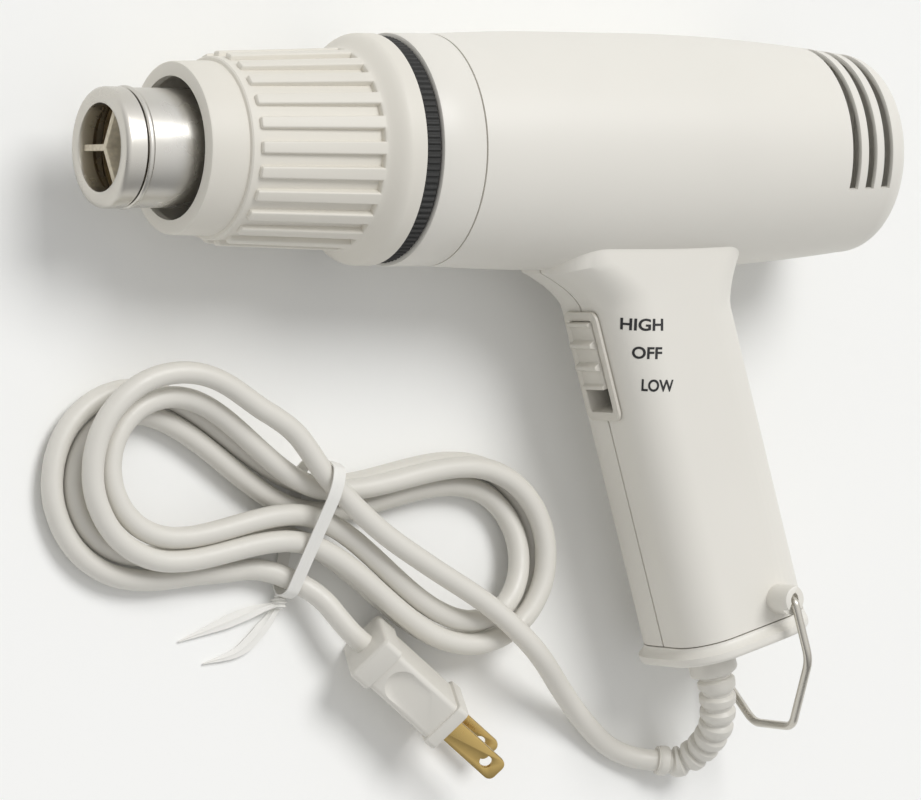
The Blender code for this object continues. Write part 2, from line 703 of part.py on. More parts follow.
def make_front(gun):
    """Nozzle, its mouth ring, the ribbed shroud, seal band and collar."""
    inner = NOZZLE_RADIUS - NOZZLE_WALL
    front = MOUTH_RING_LENGTH + GAP
    bead = front + NOZZLE_BEAD_WIDTH
    tube_loop = ((front, inner), (front, NOZZLE_BEAD_RADIUS - 0.4), (front + 0.4, NOZZLE_BEAD_RADIUS),
                 (bead - 0.4, NOZZLE_BEAD_RADIUS), (bead, NOZZLE_RADIUS), (NOZZLE_LENGTH, NOZZLE_RADIUS),
                 (NOZZLE_LENGTH, inner))
    finish(revolve("nozzle", tube_loop, 32), "nozzle_tube", "bright_steel", gun)
    seat = NOZZLE_LENGTH - FLANGE_THICKNESS
    fit = NOZZLE_RADIUS / math.cos(math.pi / 32) + PRESS_GAP
    flange_loop = ((seat, fit), (seat, FLANGE_RADIUS), (NOZZLE_LENGTH, FLANGE_RADIUS), (NOZZLE_LENGTH, fit))
    flange = revolve("flange", flange_loop, 32)
    cut(flange, gathered("holes", [flange_rod("hole", step, NOZZLE_LENGTH - 4.0, NOZZLE_LENGTH + 4.0,
                                              SCREW_RADIUS + SCREW_GAP) for step in range(FLANGE_SCREWS)]))
    finish(flange, "nozzle_flange", "bright_steel", gun)

    radius = MOUTH_RING_RADIUS
    mouth = ((0.0, MOUTH_RADIUS + 0.8), (0.0, radius - 1.7), (0.5, radius - 0.7), (1.7, radius),
             (MOUTH_RING_LENGTH, radius), (MOUTH_RING_LENGTH, MOUTH_RADIUS + 1.4), (4.2, MOUTH_RADIUS + 0.1),
             (1.2, MOUTH_RADIUS))
    finish(revolve("mouth", mouth, 32), "nozzle_ring", "bright_steel", gun)

    flare = SHROUD_REAR - RIB_END
    end = BODY_FRONT_RADIUS - 0.2
    shroud_loop = ((SHROUD_FRONT, SHROUD_MOUTH_RADIUS), (SHROUD_FRONT, SLEEVE_RADIUS - 0.7),
                   (SHROUD_FRONT + 0.6, SLEEVE_RADIUS), (SHOULDER_AT, SLEEVE_RADIUS + 0.2),
                   (SHOULDER_AT + 0.8, GROOVE_FLOOR_RADIUS), (RIB_START, GROOVE_FLOOR_RADIUS),
                   (RIB_START, RIB_FRONT_RADIUS), (RIB_END, RIB_REAR_RADIUS), (RIB_END + 0.08 * flare, end - 2.5),
                   (RIB_END + 0.22 * flare, end - 1.3), (RIB_END + 0.48 * flare, end - 0.4), (SHROUD_REAR, end),
                   (SHROUD_REAR, end - SHROUD_WALL), (RIB_END + 0.55 * flare, end - 2.6),
                   (RIB_END + 0.1, RIB_REAR_RADIUS - 3.4), (RIB_START, GROOVE_FLOOR_RADIUS - SHROUD_WALL),
                   (SHROUD_FRONT + SHROUD_WALL, SLEEVE_RADIUS - SHROUD_WALL),
                   (SHROUD_FRONT + SHROUD_WALL, SHROUD_MOUTH_RADIUS))
    shroud = revolve("shroud", shroud_loop, 48)
    grooves = []
    for rib in range(RIB_COUNT):
        angle = math.tau * (rib + 0.5) / RIB_COUNT
        half = RIB_FRONT_RADIUS * math.pi / RIB_COUNT * (1.0 - RIB_SHARE)
        floor = GROOVE_FLOOR_RADIUS - 0.02
        rise = 0.7
        rings = []
        for x, low in ((RIB_START - 0.3, floor), (RIB_END + 0.3, floor + rise)):
            rings.append([(x, -half, low), (x, half, low), (x, half, end + 5.0), (x, -half, end + 5.0)])
        grooves.append(moved(loft("groove", rings), Matrix.Rotation(angle, 4, "X")))
    cut(shroud, gathered("grooves", grooves))
    finish(shroud, "heat_shroud", "shroud_plastic", gun, 28.0)

    outer = BODY_FRONT_RADIUS - BAND_SUNK
    band = ((BAND_FRONT, outer - 3.0), (BAND_FRONT, outer), (BAND_REAR, outer), (BAND_REAR, outer - 3.0))
    finish(revolve("band", band, 40), "seal_band", "rubber_grey", gun)

    bore = COLLAR_BORE
    spigot = bore - GAP
    web = NOZZLE_LENGTH + GAP
    collar = ((COLLAR_FRONT, bore), (COLLAR_FRONT, BODY_FRONT_RADIUS - 0.4), (COLLAR_FRONT + 0.4, BODY_FRONT_RADIUS),
              (COLLAR_REAR, BODY_FRONT_RADIUS), (COLLAR_REAR, spigot), (COLLAR_REAR + COLLAR_SPIGOT, spigot),
              (COLLAR_REAR + COLLAR_SPIGOT, spigot - 1.8), (web + 2.4, spigot - 1.8), (web + 2.4, NOZZLE_RADIUS + 1.2),
              (web, NOZZLE_RADIUS + 1.2), (web, bore))
    ring = revolve("collar", collar, 36)
    cut(ring, gathered("holes", [flange_rod("hole", step, web - 4.0, web + 6.0, SCREW_RADIUS + SCREW_GAP)
                                 for step in range(FLANGE_SCREWS)]))
    finish(ring, "front_collar", "cream_plastic", gun)
    for step in range(FLANGE_SCREWS):
        make_flange_screw(gun, step)


def flange_spot(step, x):
    angle = math.tau * (step + 0.25) / FLANGE_SCREWS
    return Vector((x, FLANGE_SCREW_CIRCLE * math.cos(angle), FLANGE_SCREW_CIRCLE * math.sin(angle)))


def flange_rod(name, step, x0, x1, radius):
    return rod(name, flange_spot(step, x0), flange_spot(step, x1), radius, 10)


def make_flange_screw(gun, step):
    seat = NOZZLE_LENGTH - FLANGE_THICKNESS - GAP
    rings = [ring_across(flange_spot(step, x), (1, 0, 0), radius, 10, (0, 0, 1))
             for x, radius in ((seat - SCREW_HEAD_HEIGHT, SCREW_HEAD_RADIUS), (seat, SCREW_HEAD_RADIUS),
                               (seat, SCREW_RADIUS), (seat + 7.0, SCREW_RADIUS))]
    finish(loft("screw", rings), f"flange_screw_{step + 1}", "bright_steel", gun)


def make_heater(gun):
    """Three-vane former, the coil wound on it, the insulating sleeve and the cut-out."""
    mica_outer = NOZZLE_RADIUS - NOZZLE_WALL - GAP
    mica_inner = mica_outer - MICA_THICKNESS
    sleeve = ((MOUTH_RING_LENGTH + 2.5, mica_inner), (MOUTH_RING_LENGTH + 2.5, mica_outer),
              (NOZZLE_LENGTH - 2.0, mica_outer), (NOZZLE_LENGTH - 2.0, mica_inner))
    finish(revolve("sleeve", sleeve, 32), "mica_sleeve", "mica", gun)

    reach = MOUTH_RADIUS - GAP
    half = VANE_THICKNESS / 2
    inner = half / math.tan(math.pi / VANE_COUNT)
    outline = []
    for vane in range(VANE_COUNT):
        angle = math.tau * vane / VANE_COUNT
        out = Vector((math.cos(angle), math.sin(angle)))
        side = Vector((-out.y, out.x))
        for along, across in ((inner, -half), (reach, -half), (reach, half)):
            outline.append(out * along + side * across)
    rings = [[(x, p.x, p.y) for p in outline] for x in (VANE_FRONT, VANE_FRONT + VANE_LENGTH)]
    finish(loft("core", rings), "element_core", "mica", gun)

    winding = (reach + mica_inner) / 2
    first, last = VANE_FRONT + 10.0, VANE_FRONT + VANE_LENGTH - 4.0
    steps = COIL_TURNS * 10
    coil = [(first + (last - first) * n / steps, winding * math.cos(math.tau * n / 10),
             winding * math.sin(math.tau * n / 10)) for n in range(steps + 1)]
    tube("heating_coil", coil, COIL_WIRE_RADIUS, 0, "resistance_wire", gun)

    web = NOZZLE_LENGTH + GAP + 2.4
    top = COLLAR_BORE - GAP - 3.9
    cutout = block("cutout", (web + GAP, -5.0, top - 5.0), (web + GAP + 4.2, 5.0, top))
    finish(cutout, "thermal_cutout", "nickel", gun)


def make_motor(gun):
    """Motor, its end cap and bracket, and the shaft and fan that turn on the barrel's axis."""
    bore = SHAFT_RADIUS + GAP
    rear = MOTOR_FRONT + MOTOR_LENGTH
    can = ((MOTOR_FRONT - 2.4, bore), (MOTOR_FRONT - 2.4, 4.6), (MOTOR_FRONT, 4.6), (MOTOR_FRONT, MOTOR_RADIUS - 1.0),
           (MOTOR_FRONT + 1.0, MOTOR_RADIUS), (rear, MOTOR_RADIUS), (rear, bore))
    finish(revolve("can", can, 28), "motor_can", "motor_steel", gun)
    cap_front = rear + GAP
    cap = ((cap_front, bore + 2.0), (cap_front, MOTOR_RADIUS), (cap_front + END_CAP_LENGTH - 1.5, MOTOR_RADIUS),
           (cap_front + END_CAP_LENGTH, MOTOR_RADIUS - 1.5), (cap_front + END_CAP_LENGTH, 0.0),
           (cap_front + END_CAP_LENGTH - 3.0, 0.0), (cap_front + END_CAP_LENGTH - 3.0, bore + 2.0))
    finish(revolve("cap", cap, 28), "motor_end_cap", "black_plastic", gun)

    hub = MOTOR_RADIUS + GAP
    front = MOTOR_FRONT + 1.5
    outer = min(barrel_radius(front), barrel_radius(front + BRACKET_DEPTH)) - BODY_WALL - 2.0 * GAP
    rim = revolve("rim", ((front, outer - 1.8), (front, outer), (front + BRACKET_DEPTH, outer),
                          (front + BRACKET_DEPTH, outer - 1.8)), 32)
    cup = revolve("cup", ((front, hub), (front, hub + 1.8), (front + BRACKET_DEPTH, hub + 1.8),
                          (front + BRACKET_DEPTH, hub)), 28)
    for strut in range(3):
        bar = block("bar", (front + 0.6, -1.1, hub + 0.7), (front + BRACKET_DEPTH - 0.6, 1.1, outer - 0.7))
        moved(bar, Matrix.Rotation(math.tau * (strut + 0.1) / 3.0, 4, "X"))
        fuse(cup, bar)
    finish(fuse(rim, cup), "motor_bracket", "black_plastic", gun)

    shaft = rod("shaft", (FAN_FRONT - 1.0, 0, 0), (rear + END_CAP_LENGTH - 4.0, 0, 0), SHAFT_RADIUS, 16)
    middle = (FAN_FRONT + FAN_DEPTH / 2, 0.0, 0.0)
    finish(shaft, "motor_shaft", "bright_steel", gun, origin=middle)
    fit = SHAFT_RADIUS + PRESS_GAP
    fan = revolve("fan", ((FAN_FRONT, fit), (FAN_FRONT, FAN_HUB_RADIUS - 2.0), (FAN_FRONT + 2.0, FAN_HUB_RADIUS),
                          (FAN_FRONT + FAN_DEPTH, FAN_HUB_RADIUS), (FAN_FRONT + FAN_DEPTH, fit)), 28)
    for blade in range(FAN_BLADES):
        rings = []
        for radius, twist in ((FAN_HUB_RADIUS - 1.2, 0.62), ((FAN_HUB_RADIUS + FAN_RADIUS) * 0.47, 0.95), (FAN_RADIUS, 1.22)):
            chord = Matrix.Rotation(FAN_BLADE_ANGLE * twist, 3, "Z")
            reach = FAN_DEPTH * 0.44 / max(math.cos(FAN_BLADE_ANGLE * twist), 0.42)
            reach = min(reach, radius * 0.62)
            ring = []
            for along, across in ((-reach, -0.55), (reach, -0.55), (reach, 0.55), (-reach, 0.55)):
                spot = chord @ Vector((along, across, 0.0))
                ring.append((middle[0] + spot.x, spot.y, radius))
            rings.append(ring)
        vane = moved(triangles(loft("vane", rings)), Matrix.Rotation(math.tau * blade / FAN_BLADES, 4, "X"))
        fuse(fan, vane)
    finish(fan, "fan", "black_plastic", gun, origin=middle)


def make_switch(gun):
    """Bezel in the handle's front, the slider in its slot and the switch behind."""
    face = -HANDLE_HALF_DEPTH - PARTING_GAP
    top = face - BEZEL_PROUD
    half_length = SLOT_LENGTH / 2
    half_width = SLOT_WIDTH / 2
    rim = rounded_outline(half_length + BEZEL_RIM, half_length + BEZEL_RIM, half_width + BEZEL_RIM, 2.0, 3)
    bezel = plate("bezel", rim, 0.0, BEZEL_PROUD)
    sleeve = block("sleeve", (-half_length - BEZEL_RIM / 2, -half_width - BEZEL_RIM / 2, -BEZEL_DEPTH),
                   (half_length + BEZEL_RIM / 2, half_width + BEZEL_RIM / 2, BEZEL_PROUD * 0.5))
    fuse(bezel, sleeve)
    slot = block("slot", (-half_length, -half_width, -BEZEL_DEPTH - 2.0), (half_length, half_width, BEZEL_PROUD + 2.0))
    cut(bezel, slot)
    upright = Matrix.Translation((face, 0.0, -SWITCH_AT)) @ Matrix.Rotation(-math.pi / 2, 4, "Y")
    finish(in_handle(moved(bezel, upright)), "switch_bezel", "switch_plastic", gun)

    half_slider = SLIDER_LENGTH / 2
    cell = SLIDER_LENGTH / 3
    width = half_width - GAP
    profile = [(-half_slider, -BEZEL_DEPTH + 1.2), (half_slider, -BEZEL_DEPTH + 1.2)]
    level = BEZEL_PROUD + 0.3
    steps = [(half_slider, level + RIDGE_HEIGHT * 0.55), (half_slider - 0.9, level + RIDGE_HEIGHT * 0.55),
             (half_slider - 1.4, level)]
    for ridge in (1, 2):
        at = half_slider - ridge * cell
        steps += [(at + 1.2, level), (at + 0.5, level + RIDGE_HEIGHT), (at - 0.5, level + RIDGE_HEIGHT),
                  (at - 1.2, level)]
    steps += [(-half_slider + 1.4, level), (-half_slider + 0.9, level + RIDGE_HEIGHT * 0.55),
              (-half_slider, level + RIDGE_HEIGHT * 0.55)]
    outline = profile + steps
    slider = loft("slider", [[(x, -width, z) for x, z in outline], [(x, width, z) for x, z in outline]])
    stem = block("stem", (-2.0, -1.2, -BEZEL_DEPTH - 3.0), (2.0, 1.2, -BEZEL_DEPTH + 2.0))
    fuse(slider, stem)
    up = (SLOT_LENGTH - SLIDER_LENGTH) / 2 - 0.2
    home = upright @ Matrix.Translation((up, 0.0, 0.0))
    origin = HANDLE_FRAME @ home @ Vector((0.0, 0.0, 0.0))
    finish(in_handle(moved(slider, home)), "switch_slider", "switch_plastic", gun, origin=origin)

    back = BEZEL_DEPTH + GAP
    body = block("switch", (-half_length - 2.0, -half_width - 1.2, -back - 12.0),
                 (half_length + 2.0, half_width + 1.2, -back))
    track = block("track", (-2.0 - SWITCH_TRAVEL / 2 - 0.6, -1.2 - GAP, -back - 4.0),
                  (2.0 + SWITCH_TRAVEL / 2 + 0.6, 1.2 + GAP, -back + 2.0))
    cut(body, track)
    finish(in_handle(moved(body, upright)), "switch_body", "black_plastic", gun)


def clamp_place(spot, y):
    return HANDLE_FRAME @ Vector((-RELIEF_FORWARD + spot * CLAMP_SCREW_SPREAD, y, -CLAMP_AT))


def make_handle_parts(gun):
    """Base cap, the cord's inner end, its clamp and the wires to the switch and motor."""
    over = BASE_OVERHANG
    back = HANDLE_HALF_DEPTH + BASE_BACK_OVERHANG
    outline = rounded_outline(HANDLE_HALF_DEPTH + over, back, HANDLE_HALF_WIDTH + over, HANDLE_CORNER + over, 6)
    small = rounded_outline(HANDLE_HALF_DEPTH + over - 1.0, back - 1.0, HANDLE_HALF_WIDTH + over - 1.0,
                            HANDLE_CORNER + over - 1.0, 6)
    rings = []
    for along, edge in ((BASE_TOP, outline), (BASE_BOTTOM - 1.2, outline), (BASE_BOTTOM, small)):
        rings.append([(x, y, -along) for x, y in edge])
    cap = loft("cap", rings)
    inside = BODY_WALL + GAP
    spigot = rounded_outline(HANDLE_HALF_DEPTH - inside, HANDLE_HALF_DEPTH - inside, HANDLE_HALF_WIDTH - inside,
                             HANDLE_CORNER - inside, 5)
    fuse(cap, plate("spigot", spigot, -BASE_TOP - 2.0, -BASE_TOP + BASE_SPIGOT))
    inside += 1.7
    hollow = rounded_outline(HANDLE_HALF_DEPTH - inside, HANDLE_HALF_DEPTH - inside, HANDLE_HALF_WIDTH - inside,
                             HANDLE_CORNER - inside, 5)
    cut(cap, plate("hollow", hollow, -BASE_TOP - 0.4, -BASE_TOP + BASE_SPIGOT + 4.0))
    cut(cap, rod("hole", (-RELIEF_FORWARD, 0, -BASE_TOP + 8.0), (-RELIEF_FORWARD, 0, -BASE_BOTTOM - 4.0),
                 RELIEF_NECK_RADIUS + GAP, 20))
    finish(in_handle(cap), "base_cap", "cream_plastic", gun)

    top = CLAMP_AT - CLAMP_LENGTH - 2.0
    start = relief_inner_end() - GAP
    inner = [HANDLE_FRAME @ Vector((-RELIEF_FORWARD, 0.0, -s)) for s in (start, start - 6.0, top + 5.0, top)]
    tube("cord_inner", inner, CORD_RADIUS - 0.05, 2, "cord_grey", gun)

    low = -CORD_RADIUS - GAP
    reach = CLAMP_SCREW_SPREAD + 2.8
    bar = block("bar", (-RELIEF_FORWARD - reach, low - CLAMP_THICKNESS, -CLAMP_AT - CLAMP_LENGTH / 2),
                (-RELIEF_FORWARD + reach, low, -CLAMP_AT + CLAMP_LENGTH / 2))
    in_handle(bar)
    cut(bar, gathered("holes", [rod("hole", clamp_place(s, low - 8.0), clamp_place(s, low + 4.0),
                                    CLAMP_SCREW_RADIUS + SCREW_GAP, 10) for s in (-1, 1)]))
    finish(bar, "cord_clamp", "black_plastic", gun)
    for number, spot in enumerate((-1, 1), 1):
        seat = low - CLAMP_THICKNESS - GAP
        rings = [ring_across(clamp_place(spot, y), (0, 1, 0), radius, 10, (1, 0, 0))
                 for y, radius in ((seat - 1.8, 2.3), (seat, 2.3), (seat, CLAMP_SCREW_RADIUS),
                                   (seat + 9.0, CLAMP_SCREW_RADIUS))]
        finish(loft("screw", rings), f"clamp_screw_{number}", "bright_steel", gun)

    back = -HANDLE_HALF_DEPTH - PARTING_GAP + BEZEL_DEPTH + GAP + 12.0
    foot = SWITCH_AT + SLOT_LENGTH / 2 + 2.0
    for name, colour, y in (("wire_live", "red_wire", -1.35), ("wire_neutral", "blue_wire", 1.35)):
        route = [(-RELIEF_FORWARD, y, -(top - GAP)), (-RELIEF_FORWARD, y, -(top - 5.0)),
                 (-RELIEF_FORWARD - 1.5, y * 1.6, -(top - 14.0)), (-RELIEF_FORWARD - 4.0, y * 2.4, -(foot + 9.0)),
                 (-RELIEF_FORWARD - 4.5, y * 2.6, -(foot + GAP))]
        points = smooth_route([HANDLE_FRAME @ Vector(p) for p in route], 5.0)
        tube(name, points, 1.0, 0, colour, gun)
    cap_rear = MOTOR_FRONT + MOTOR_LENGTH + GAP + END_CAP_LENGTH
    start = HANDLE_FRAME @ Vector((back + GAP, 0.0, -SWITCH_AT))
    route = [start, start + Vector((4.0, 0.0, 2.0)), Vector((cap_rear + 3.0, 0.0, -22.0)),
             Vector((cap_rear + 6.0, 0.0, -9.0)), Vector((cap_rear + 3.0, 0.0, -6.0)),
             Vector((cap_rear + GAP, 0.0, -6.0))]
    tube("wire_motor", smooth_route(route, 5.0), 1.0, 0, "red_wire", gun)


def relief_inner_end():
    return BASE_TOP - 0.4 - GAP - 2.0


def make_bail(gun):
    """Bent wire bail whose two ends turn in the cups on the handle's sides."""
    elbow = 1.6
    half = [(BAIL_HALF_WIDTH - 5.6, 0.0), (BAIL_HALF_WIDTH - elbow - 0.4, 0.0)]
    for step in range(1, 5):
        angle = math.radians(90.0 * step / 4)
        half.append((BAIL_HALF_WIDTH - elbow + elbow * math.sin(angle), elbow - elbow * math.cos(angle)))
    corners = ((BAIL_HALF_WIDTH, BAIL_STRAIGHT), (BAIL_FOOT_HALF_WIDTH, BAIL_LENGTH))
    before = Vector(half[-1])
    for corner, after in zip(corners, (corners[1], (0.0, BAIL_LENGTH))):
        corner = Vector(corner)
        after = Vector(after)
        start = corner + (before - corner).normalized() * 3.0
        end = corner + (after - corner).normalized() * 3.0
        for step in range(5):
            t = step / 4
            spot = start * (1 - t) ** 2 + corner * 2 * t * (1 - t) + end * t * t
            half.append((spot.x, spot.y))
        before = end
    full = half + [(-y, s) for y, s in reversed(half)]
    points = [HANDLE_FRAME @ Vector((BAIL_BACK, -y, -BAIL_AT - s)) for y, s in full]
    tube("bail", points, BAIL_WIRE_RADIUS, 2, "nickel", gun, origin=BAIL_PIVOT)


def rest_turn():
    """Roll of the gun on the table: the barrel and the bail's lower boss touch it."""
    reach = math.hypot(BOSS_HALF_WIDTH, -BAIL_PIVOT.z)
    widest = max(BODY_RADIUS, BODY_FRONT_RADIUS)
    roll = math.asin(widest / reach) - math.atan2(BOSS_HALF_WIDTH, -BAIL_PIVOT.z)
    return Matrix.Translation((0.0, 0.0, widest)) @ Matrix.Rotation(roll - math.pi / 2, 4, "X")


def relief_route():
    """Centre line of the strain relief in the table frame, from its inner end to the cord."""
    turn = rest_turn()
    ends = [turn @ HANDLE_FRAME @ Vector((-RELIEF_FORWARD, 0.0, -s))
            for s in (relief_inner_end(), BASE_BOTTOM + GAP + RELIEF_COLLAR_LENGTH)]
    shift = ends[1] - Vector(RELIEF_DRAWN_FROM)
    count = len(RELIEF_ROUTE)
    route = [Vector(p) + shift * (1.0 - (i + 1) / count) for i, p in enumerate(RELIEF_ROUTE)]
    bend = smooth_route([ends[1]] + route, 1.0)
    return ends, bend


def make_relief(table):
    turn = rest_turn()
    places = []
    radii = []

    def add(s, radius):
        places.append(turn @ HANDLE_FRAME @ Vector((-RELIEF_FORWARD, 0.0, -s)))
        radii.append(radius)

    inner = relief_inner_end()
    add(inner, RELIEF_COLLAR_RADIUS - 0.4)
    add(inner + 2.0, RELIEF_COLLAR_RADIUS - 0.4)
    add(inner + 2.0, RELIEF_NECK_RADIUS)
    add(BASE_BOTTOM + GAP, RELIEF_NECK_RADIUS)
    add(BASE_BOTTOM + GAP, RELIEF_COLLAR_RADIUS)
    add(BASE_BOTTOM + GAP + RELIEF_COLLAR_LENGTH - 0.8, RELIEF_COLLAR_RADIUS)
    add(BASE_BOTTOM + GAP + RELIEF_COLLAR_LENGTH, RELIEF_START_RADIUS)
    _, bend = relief_route()
    lengths = [0.0]
    for p, q in zip(bend, bend[1:]):
        lengths.append(lengths[-1] + (q - p).length)
    total = lengths[-1]

    def along(share):
        want = share * total
        for i in range(len(bend) - 1):
            if lengths[i + 1] >= want - 1e-9:
                t = (want - lengths[i]) / (lengths[i + 1] - lengths[i])
                return bend[i].lerp(bend[i + 1], min(max(t, 0.0), 1.0))
        return bend[-1]

    for rib in range(RELIEF_RIBS):
        first = (rib + 0.12) / RELIEF_RIBS
        for part, deep in ((0.0, True), (0.22, True), (0.22, False), (0.86, False)):
            share = first + part / RELIEF_RIBS
            radius = RELIEF_START_RADIUS + (RELIEF_END_RADIUS - RELIEF_START_RADIUS) * share
            places.append(along(share))
            radii.append(radius - (RELIEF_RIB_DEPTH if deep else 0.0))
    places.append(along(1.0))
    radii.append(RELIEF_END_RADIUS)
    finish(sweep("relief", places, radii, 10), "strain_relief", "cord_grey", table, 28.0)


def hank_point(turn):
    """Centre of the hank's cord after a number of turns, in the hank's own frame.

    It winds inwards on the upper layer to the reverse turn and outwards on the lower one.
    The upper layer's left folds are drawn in, so that they lie on the lower layer's.
    """
    out = abs(turn - HANK_REVERSE_TURN)
    waist = HANK_WAIST + HANK_STEP * out
    right_fold = HANK_FOLD_RADIUS + HANK_STEP * out
    left_fold = HANK_LEFT_RADIUS + HANK_STEP * out
    drop = ease(min(max((turn - HANK_REVERSE_TURN) / HANK_DROP_TURNS + 0.5, 0.0), 1.0))
    first = (turn - HANK_START_TURN - 0.02) / (HANK_FIRST_DROP_END - HANK_START_TURN - 0.02)
    first = ease(min(max(first, 0.0), 1.0))
    height = HANK_LOWEST + HANK_LAYER_STEP * (2.0 - drop - first)
    left_run = HANK_TOP_RUN + (HANK_LOW_RUN - HANK_TOP_RUN) * drop
    run_share = 0.31
    fold_share = 0.5 - run_share
    share = turn % 1.0
    if share < fold_share / 2 or share >= 1.0 - fold_share / 2:
        angle = ((share + 0.5) % 1.0 - 0.5) / fold_share * math.pi
        u = HANK_HALF_RUN + right_fold * math.cos(angle)
        v = right_fold * math.sin(angle)
    elif abs(share - 0.5) < fold_share / 2:
        angle = (share - 0.5) / fold_share * math.pi + math.pi
        u = -left_run + left_fold * math.cos(angle)
        v = left_fold * math.sin(angle)
    else:
        way = 1.0 if share < 0.5 else -1.0
        along = way * (1.0 - 2.0 * (share % 0.5 - fold_share / 2) / run_share)
        run, fold = (HANK_HALF_RUN, right_fold) if along > 0.0 else (left_run, left_fold)
        u = along * run
        v = way * (waist + (fold - waist) * ease(abs(along)))
    fan = HANK_FAN * (2.0 * drop - 1.0)
    reach = u - HANK_HALF_RUN
    return Vector((HANK_HALF_RUN + reach * math.cos(fan) - v * math.sin(fan),
                   reach * math.sin(fan) + v * math.cos(fan), height))


def ease(share):
    return share * share * (3.0 - 2.0 * share)


def on_table(u, v, height):
    """From the hank's own frame to the table frame."""
    x = HANK_CENTRE[0] + u * math.cos(HANK_TILT) - v * math.sin(HANK_TILT)
    y = HANK_CENTRE[1] + u * math.sin(HANK_TILT) + v * math.cos(HANK_TILT)
    return Vector((x, y, height))


def hank_points():
    count = round((HANK_END_TURN - HANK_START_TURN) * HANK_POINTS_PER_TURN)
    turns = [HANK_START_TURN + (HANK_END_TURN - HANK_START_TURN) * n / count for n in range(count + 1)]
    points = [on_table(*hank_point(turn)) for turn in turns]
    first = (points[0] - points[1]).normalized()
    last = (points[-1] - points[-2]).normalized()
    return [points[0] + first * CORD_DIAMETER] + points + [points[-1] + last * CORD_DIAMETER]


def least_gap(points):
    """Smallest space between the cord and itself, away from its neighbours along it."""
    fine = []
    for p, q in zip(points, points[1:]):
        steps = max(1, round((q - p).length / 1.5))
        fine += [p.lerp(q, n / steps) for n in range(steps)]
    walked = [0.0]
    for p, q in zip(fine, fine[1:]):
        walked.append(walked[-1] + (q - p).length)
    best = 1e9
    for i, p in enumerate(fine):
        for j in range(i + 1, len(fine)):
            if walked[j] - walked[i] > 40.0:
                best = min(best, (fine[j] - p).length)
    return best - CORD_DIAMETER


def make_cord(table):
    """The cord's three stretches, each meeting the next face to face."""
    hank = hank_points()
    print("least gap of the hank to itself, mm:", round(least_gap(hank), 3))
    tube("cord_hank", hank, CORD_RADIUS, 1, "cord_grey", table)

    _, bend = relief_route()
    leaving = (bend[-1] - bend[-2]).normalized()
    start = bend[-1] + leaving * GAP
    into = (hank[1] - hank[0]).normalized()
    end = hank[0] - into * GAP
    route = [start, start + leaving * CORD_DIAMETER] + [Vector(p) for p in LEAD_ROUTE]
    route += [on_table(*p) for p in LEAD_OVER_HANK] + [end - into * CORD_DIAMETER, end]
    lead = smooth_route(route, 6.0)
    print("lead least height, mm:", round(min(p.z for p in lead) - CORD_RADIUS, 3))
    print("lead to hank gap, mm:", round(min((p - q).length for p in lead[:-4] for q in hank[4:]) - CORD_DIAMETER, 3))
    tube("cord_lead", lead, CORD_RADIUS, 2, "cord_grey", table)

    off = (hank[-1] - hank[-2]).normalized()
    begin = hank[-1] + off * GAP
    plug_end, heading = plug_entry()
    finish_at = plug_end - heading * GAP
    tail = [begin, begin + off * CORD_DIAMETER] + [on_table(*p) for p in TAIL_ROUTE]
    tail = smooth_route(tail + [finish_at - heading * CORD_DIAMETER, finish_at], 6.0)
    tube("cord_tail", tail, CORD_RADIUS, 2, "cord_grey", table)
    for name, line in (("lead", lead), ("hank", hank), ("tail", tail)):
        length = sum((q - p).length for p, q in zip(line, line[1:]))
        print(name, "length, mm:", round(length, 1), "points", len(line), "tightest bend, mm:", round(bend_radius(line), 1))


def bend_radius(points):
    least = 1e9
    for p, q, r in zip(points, points[1:], points[2:]):
        turn = (q - p).angle(r - q)
        if turn > 1e-6:
            least = min(least, ((q - p).length + (r - q).length) / 2 / turn)
    return least


def plug_frame():
    """The plug's frame: x along it towards the blades, z across its flat side."""
    spot = on_table(*PLUG_ENTRY)
    return (Matrix.Translation(spot) @ Matrix.Rotation(PLUG_HEADING, 4, "Z") @ Matrix.Rotation(-PLUG_NOSE_UP, 4, "Y")
            @ Matrix.Rotation(PLUG_ROLL, 4, "X"))


def plug_entry():
    frame = plug_frame()
    return frame @ Vector((0.0, 0.0, 0.0)), (frame.to_3x3() @ Vector((1.0, 0.0, 0.0))).normalized()


